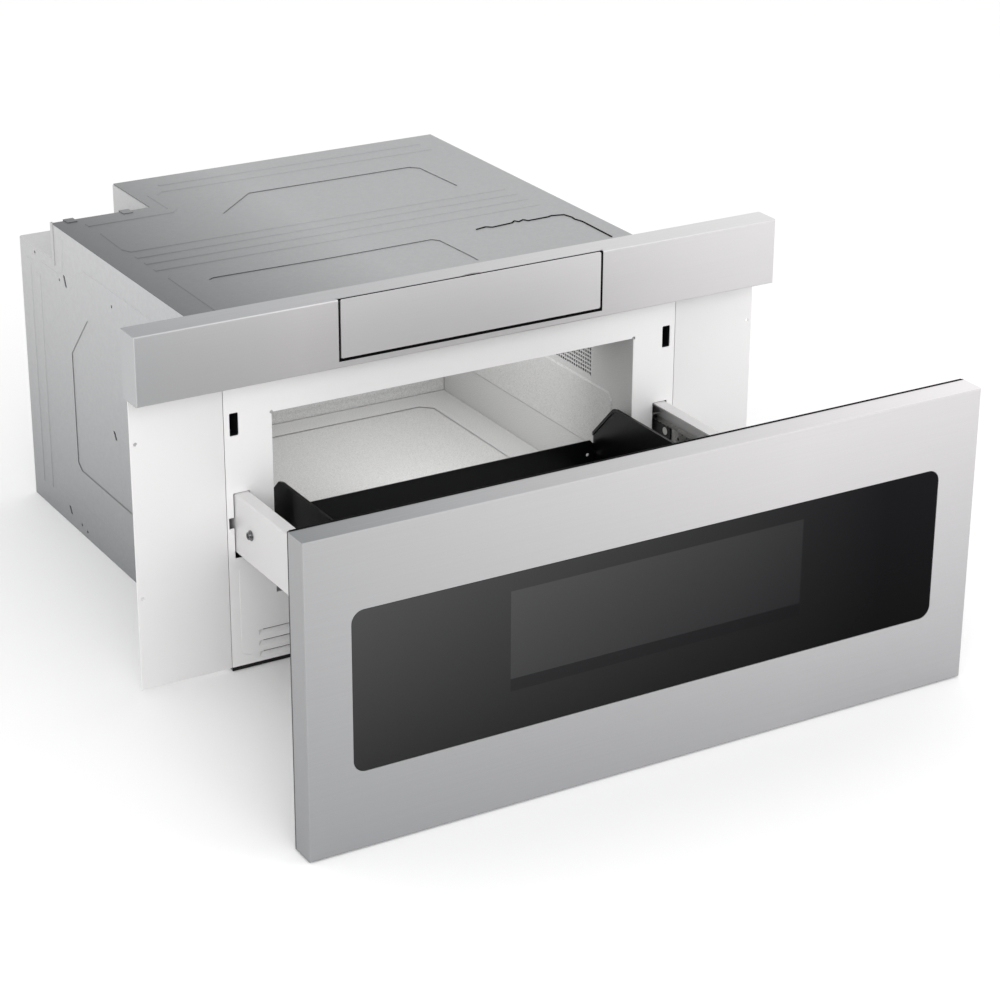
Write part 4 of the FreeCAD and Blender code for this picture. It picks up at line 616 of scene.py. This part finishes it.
class Bench:
    """Starts one piece from a primitive and shapes it with the edit-mode tools."""

    RIM_FLATS = 32
    BEVEL_STEPS = 2
    SMOOTH_BELOW = math.radians(35)

    def __init__(self, name: str) -> None:
        """Clear the bench for a piece of a given name."""
        self.name = name
        self.piece: bpy.types.Object | None = None
        bpy.ops.object.select_all(action="DESELECT")

    def take(self) -> None:
        """Take up the new primitive, its place and size put into its mesh."""
        self.piece = bpy.context.object
        self.piece.name = self.name
        self.piece.data.name = self.name
        bpy.ops.object.transform_apply(location=True, rotation=True, scale=True)

    def block(self, low: Sequence[float], high: Sequence[float]) -> None:
        """Start from a block between two corners."""
        middle = [(a + b) / 2 for a, b in zip(low, high)]
        size = [b - a for a, b in zip(low, high)]
        bpy.ops.mesh.primitive_cube_add(size=1, location=middle, scale=size)
        self.take()

    def disc(self, centre: Sequence[float], axis: Axis, radius: float, depth: float) -> None:
        """Start from a round disc with flat faces across an axis.

        Args:
            centre: The middle of the disc.
            axis: The axis that it turns round.
            radius: Its radius.
            depth: Its thickness.
        """
        turn = axis.vector.to_track_quat("Z", "Y").to_euler()
        bpy.ops.mesh.primitive_cylinder_add(vertices=self.RIM_FLATS, radius=radius, depth=depth,
                                            location=centre, rotation=turn)
        self.take()

    def shape(self, wanted: Test, tool: Callable[[], object]) -> None:
        """Run an edit-mode tool on the faces whose middle and normal pass a test."""
        bpy.ops.object.mode_set(mode="EDIT")
        bpy.ops.mesh.select_mode(type="FACE")
        bpy.ops.mesh.select_all(action="DESELECT")
        bpy.ops.object.mode_set(mode="OBJECT")
        for face in self.piece.data.polygons:
            face.select = bool(wanted(face.center, face.normal))
        bpy.ops.object.mode_set(mode="EDIT")
        tool()
        bpy.ops.object.mode_set(mode="OBJECT")

    def inset(self, wanted: Test, width: float) -> None:
        """Draw a border inside the chosen faces."""
        self.shape(wanted, lambda: bpy.ops.mesh.inset(thickness=width, depth=0.0))

    def extrude(self, wanted: Test, run: Sequence[float]) -> None:
        """Pull the chosen faces out along a straight run."""
        self.shape(wanted, lambda: bpy.ops.mesh.extrude_region_move(
            TRANSFORM_OT_translate={"value": run}))

    def modify(self, kind: str, **settings: object) -> None:
        """Add one modifier with its settings and apply it."""
        bpy.ops.object.modifier_add(type=kind)
        modifier = self.piece.modifiers[-1]
        for name, value in settings.items():
            setattr(modifier, name, value)
        bpy.ops.object.modifier_apply(modifier=modifier.name)

    def soften(self, width: float) -> None:
        """Round every edge that is sharper than thirty degrees."""
        self.modify("BEVEL", width=width, segments=self.BEVEL_STEPS, limit_method="ANGLE")
        bpy.ops.object.shade_smooth_by_angle(angle=self.SMOOTH_BELOW)

    def finish(self, material: bpy.types.Material, body: str) -> bpy.types.Object:
        """Dress the piece and hang it on the body that it moves with."""
        self.piece.data.materials.clear()
        self.piece.data.materials.append(material)
        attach(self.piece, body)
        LOG.info("%s rides on %s", self.name, body)
        return self.piece


def facing(axis: Axis, sign: int) -> Test:
    """Return a test for faces that look along an axis, one way or the other."""
    return lambda middle, normal: normal.dot(axis.vector) * sign > ALIGNED


def facing_at(axis: Axis, sign: int, place: float) -> Test:
    """Return a test for faces that look along an axis and lie at one place on it."""
    return lambda middle, normal: (normal.dot(axis.vector) * sign > ALIGNED
                                   and abs(middle.dot(axis.vector) - place) < NEARNESS)


# ---------------------------------------------------------------- fine trim


@dataclass
class ArmScrews:
    """The two washer-head screws that hold the arms to the inner rails."""

    palette: Palette
    face: float = 264.6 * MM
    depth: float = -37 * MM
    level: float = 169 * MM
    washer_radius: float = 5.6 * MM
    washer: float = 1.2 * MM
    head_radius: float = 4.1 * MM
    head: float = 2.6 * MM
    socket_radius: float = 2.3 * MM
    socket: float = 1.7 * MM
    rounding: float = 0.3 * MM

    def build(self) -> None:
        """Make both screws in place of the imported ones."""
        for side in Side:
            sign = side.value
            bench = Bench(f"{side.label}_arm_screw")
            bench.disc((sign * (self.face + self.washer / 2), self.depth, self.level), Axis.X,
                       self.washer_radius, self.washer)
            outward = facing(Axis.X, sign)
            bench.inset(outward, self.washer_radius - self.head_radius)
            out = Vector((sign, 0, 0))
            inner = self.facing_middle(sign)
            bench.extrude(inner, out * self.head)
            bench.inset(inner, self.head_radius - self.socket_radius)
            bench.extrude(inner, -out * self.socket)
            bench.soften(self.rounding)
            screw = bench.finish(self.palette.finish[Finish.SCREW_STEEL], "drawer")
            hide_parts("arm_screws")

    def facing_middle(self, sign: int) -> Test:
        """Return a test for the outward face round the screw's own axis."""
        middle = Vector((0, self.depth, self.level))
        return lambda place, normal: (normal.x * sign > ALIGNED
                                      and (Vector((0, place.y, place.z)) - middle).length
                                      < NEARNESS)


@dataclass
class FlapGapShade:
    """Black strips in the gaps round the control flap's opening, as painted shade: a channel at
    its foot and sides, and a strip at its top.
    """

    palette: Palette
    half: float = 157.7 * MM
    top: float = 402.2 * MM
    bottom: float = 335.9 * MM
    front: float = -31.7 * MM
    back: float = -28.3 * MM
    wall: float = 1.8 * MM
    foot: float = 2.4 * MM
    top_shade_wall: float = 0.6 * MM
    top_shade_foot: float = 399.4 * MM
    top_shade_gap: float = 0.1 * MM
    top_shade_rounding: float = 0.15 * MM

    def build(self) -> None:
        """Make the channel of painted shade, foot first and then uprights, and the strip at the
        top.
        """
        bench = Bench("flap_gap_shade")
        inner = self.half - self.wall
        bench.block((-inner, self.front, self.bottom),
                    (inner, self.back, self.bottom + self.foot))
        for sign in (-1, 1):
            bench.extrude(facing_at(Axis.X, sign, sign * inner), (sign * self.wall, 0, 0))
        rise = self.top - self.bottom - self.foot
        bench.extrude(lambda middle, normal: normal.z > ALIGNED and abs(middle.x) > inner,
                      (0, 0, rise))
        bench.finish(self.palette.finish[Finish.RUBBER], "chassis")
        # the strip of painted shade in the gap above the flap
        top_shade = Bench("flap_top_gap_shade")
        reach = inner - self.top_shade_gap
        top_shade.block((-reach, self.back - self.top_shade_wall, self.top_shade_foot),
                     (reach, self.back, self.top))
        top_shade.soften(self.top_shade_rounding)
        top_shade.finish(self.palette.finish[Finish.RUBBER], "chassis")


@dataclass
class DrawerEdge:
    """The black edging behind the drawer front's top edge, and the clips that grip it."""

    palette: Palette
    half: float = 379 * MM
    front: float = -363.0 * MM
    depth: float = 2.7 * MM
    panel_depth: float = 2 * MM
    level: float = 325.0 * MM
    proud: float = 0.5 * MM
    skirt: float = 4 * MM
    clip_places: tuple[float, ...] = (-314 * MM, -80 * MM, 80 * MM, 314 * MM)
    clip_width: float = 13 * MM
    clip_rise: float = 0.7 * MM
    clip_gap: float = 0.1 * MM
    clip_rounding: float = 0.2 * MM
    rounding: float = 0.1 * MM

    def build(self) -> None:
        """Make the edging, and then the clips on the panel below it."""
        bench = Bench("drawer_edging")
        top = self.level + self.proud
        reach = self.front + self.depth
        bench.block((-self.half, self.front, self.level), (self.half, reach, top))
        bench.soften(self.rounding)
        bench.finish(self.palette.finish[Finish.RUBBER], "drawer")
        root = self.front + self.panel_depth + self.clip_gap
        for number, place in enumerate(self.clip_places, start=1):
            clip = Bench(f"drawer_clip_{number}")
            left, right = place - self.clip_width / 2, place + self.clip_width / 2
            clip.block((left, root, self.level - self.skirt),
                       (right, reach + self.clip_rise, self.level - self.clip_gap))
            clip.soften(self.clip_rounding)
            clip.finish(self.palette.finish[Finish.RUBBER], "drawer")


@dataclass
class VentPlate:
    """The finely pierced vent plate in the cavity's right wall."""

    palette: Palette
    rows: int = 10
    columns: int = 18
    border: float = 0.45 * MM
    wall: float = 0.8 * MM

    def build(self) -> None:
        """Pierce a gridded sheet cell by cell, and round its holes by subdivision."""
        low, high = (Vector(corner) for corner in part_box("cavity_vent_screen"))
        middle = (low + high) / 2
        bench = Bench("vent_plate")
        bpy.ops.mesh.primitive_grid_add(
            x_subdivisions=self.rows, y_subdivisions=self.columns, size=1,
            location=(low.x, middle.y, middle.z), rotation=(0, -math.pi / 2, 0))
        bpy.ops.transform.resize(value=(1, high.y - low.y, high.z - low.z))
        bench.take()
        bench.shape(lambda place, normal: True,
                    lambda: (bpy.ops.mesh.inset(thickness=self.border, use_individual=True),
                             bpy.ops.mesh.delete(type="FACE")))
        bench.modify("SUBSURF", levels=1, render_levels=1)
        bench.modify("SOLIDIFY", thickness=self.wall, offset=-1.0)
        plate = bench.finish(self.palette.finish[Finish.CAVITY], "chassis")
        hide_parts("cavity_vent_screen")


@dataclass
class CageButtons:
    """The white stop buttons on the noses of the outer roller cages."""

    palette: Palette
    face: float = 250.6 * MM
    depth: float = -21 * MM
    level: float = 175.0 * MM
    radius: float = 4.4 * MM
    thickness: float = 0.22 * MM
    border_share: float = 0.25

    def build(self) -> None:
        """Make one low button on each side."""
        for side in Side:
            bench = Bench(f"{side.label}_cage_button")
            centre = (side.value * (self.face - self.thickness / 2), self.depth, self.level)
            bench.disc(centre, Axis.X, self.radius, self.thickness)
            bench.inset(facing(Axis.X, -side.value), self.radius * self.border_share)
            bench.finish(self.palette.finish[Finish.WHITE_PLASTIC], "outer_cages")


@dataclass
class TopSeam:
    """The lanced seam near the front right corner of the casing's top."""

    palette: Palette
    level: float = 369.2 * MM
    radius: float = 0.8 * MM
    path: tuple[tuple[float, float], ...] = (   # in millimetres, from its left end
        (129, 187), (143, 190), (149, 185), (176, 188), (182, 193), (185, 188), (193, 192),
        (196, 186), (223, 187), (229, 189), (243, 185), (246, 173), (245, 165), (248, 154),
        (247, 90),
    )

    def build(self) -> None:
        """Draw the seam as one line of extruded points and give it a thin round body."""
        points = [Vector((x * MM, y * MM, self.level)) for x, y in self.path]
        bench = Bench("top_seam")
        bpy.ops.mesh.primitive_plane_add(size=MM, location=points[0])
        bench.take()
        bpy.ops.object.mode_set(mode="EDIT")
        bpy.ops.mesh.select_mode(type="VERT")
        bpy.ops.mesh.select_all(action="SELECT")
        bpy.ops.mesh.merge(type="CENTER")
        for start, end in zip(points, points[1:]):
            bpy.ops.mesh.extrude_region_move(TRANSFORM_OT_translate={"value": end - start})
        bpy.ops.object.mode_set(mode="OBJECT")
        bpy.ops.object.modifier_add(type="SKIN")
        for joint in bench.piece.data.skin_vertices[0].data:
            joint.radius = (self.radius, self.radius)
        bpy.ops.object.modifier_apply(modifier=bench.piece.modifiers[-1].name)
        bench.finish(self.palette.finish[Finish.RUBBER], "chassis")


# -------------------------------------------------------------------- studio


@dataclass(frozen=True)
class Lamp:
    """One square soft light that the camera doesn't see.

    Attributes:
        name: Its name.
        place: Where it hangs.
        target: The point that it faces.
        size: Its side.
        power: Its power in watts.
        mirrored: Whether shiny pieces show it.
    """

    name: str
    place: tuple[float, float, float]
    target: tuple[float, float, float]
    size: float
    power: float
    mirrored: bool = True

    def hang(self) -> None:
        """Hang the light."""
        data = bpy.data.lights.new(self.name, "AREA")
        data.shape = "SQUARE"
        data.size = self.size
        data.energy = self.power
        lamp = bpy.data.objects.new(self.name, data)
        aim = Vector(self.target) - Vector(self.place)
        lamp.location = self.place
        lamp.rotation_euler = aim.to_track_quat("-Z", "Y").to_euler()
        bpy.context.scene.collection.objects.link(lamp)
        lamp.visible_camera = False
        lamp.visible_glossy = self.mirrored


@dataclass
class Studio:
    """A pale floor, soft light and the camera that took the photograph."""

    azimuth: float = math.radians(-30.578)
    elevation: float = math.radians(23.413)
    roll: float = math.radians(0.314)
    place: tuple[float, float, float] = (-1.36650, -2.39943, 1.33344)
    focal_share: float = 2.79299
    sensor: float = 36.0
    sight: float = 50.0
    floor_half: float = 6.0
    floor_colour: str = "#FBFBFB"
    floor_roughness: float = 0.9
    floor_glow: float = 0.02
    sky_colour: str = "#FFFFFF"
    sky_strength: float = 1.0
    lamps: tuple[Lamp, ...] = (
        Lamp("key_light", (-0.6, -3.0, 1.8), (0, 0, 0.2), 1.8, 22),
        Lamp("fill_light", (2.2, -2.4, 1.2), (0, -0.2, 0.2), 1.8, 11),
        Lamp("plate_light", (-1.1, -1.7, 0.7), (-0.2, 0, 0.2), 0.9, 5),
        Lamp("oven_lamp", (0.05, 0.25, 0.27), (0.05, 0.25, 0), 0.32, 0.5, mirrored=False),
        Lamp("oven_glow", (0.05, 0.1, 0.18), (0.1, 0.42, 0.16), 0.12, 0.15, mirrored=False),
    )

    def add_camera(self) -> None:
        """Stand the camera where the photograph was taken from."""
        back = Vector((math.sin(self.azimuth) * math.cos(self.elevation),
                       -math.cos(self.azimuth) * math.cos(self.elevation),
                       math.sin(self.elevation)))
        right = (-back).cross(Vector((0, 0, 1))).normalized()
        above = right.cross(-back)
        turn_cos = math.cos(self.roll)
        turn_sin = math.sin(self.roll)
        rolled_right = right * turn_cos + above * turn_sin
        rolled_above = above * turn_cos - right * turn_sin
        view = Matrix((rolled_right, rolled_above, back)).transposed()
        data = bpy.data.cameras.new("photo_camera")
        data.sensor_width = self.sensor
        data.lens = self.sensor * self.focal_share
        data.clip_end = self.sight
        camera = bpy.data.objects.new("photo_camera", data)
        camera.matrix_world = Matrix.Translation(self.place) @ view.to_4x4()
        bpy.context.scene.collection.objects.link(camera)
        bpy.context.scene.camera = camera

    def add_floor(self) -> None:
        """Lay the pale floor on which the casing stands."""
        bpy.ops.mesh.primitive_plane_add(size=2 * self.floor_half)
        floor = bpy.context.object
        floor.name = "studio_floor"
        shader = Shader("studio_paper", self.floor_colour, 0.0, self.floor_roughness)
        shader.surface.inputs["Emission Color"].default_value = linear(self.sky_colour)
        shader.surface.inputs["Emission Strength"].default_value = self.floor_glow
        floor.data.materials.append(shader.material)

    def build(self) -> None:
        """Set up the whole studio."""
        self.add_camera()
        self.add_floor()
        world = bpy.context.scene.world or bpy.data.worlds.new("studio_world")
        bpy.context.scene.world = world
        world.use_nodes = True
        backdrop = world.node_tree.nodes["Background"]
        backdrop.inputs["Color"].default_value = linear(self.sky_colour)
        backdrop.inputs["Strength"].default_value = self.sky_strength
        for lamp in self.lamps:
            lamp.hang()
        bpy.context.scene.view_settings.view_transform = "Standard"
        LOG.info("studio is lit")


# ---------------------------------------------------------------------- main


def main() -> None:
    """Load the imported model, dress it and set up the studio."""
    logging.basicConfig(level=logging.INFO, format="%(message)s")
    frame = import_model()
    bpy.ops.object.select_all(action="DESELECT")
    palette = Palette()
    palette.dress(frame["nodes"])
    for trim in (ArmScrews, FlapGapShade, DrawerEdge, VentPlate, CageButtons, TopSeam):
        trim(palette).build()
        LOG.info("%s is made", trim.__name__)
    Studio().build()


if __name__ == "__main__":
    main()
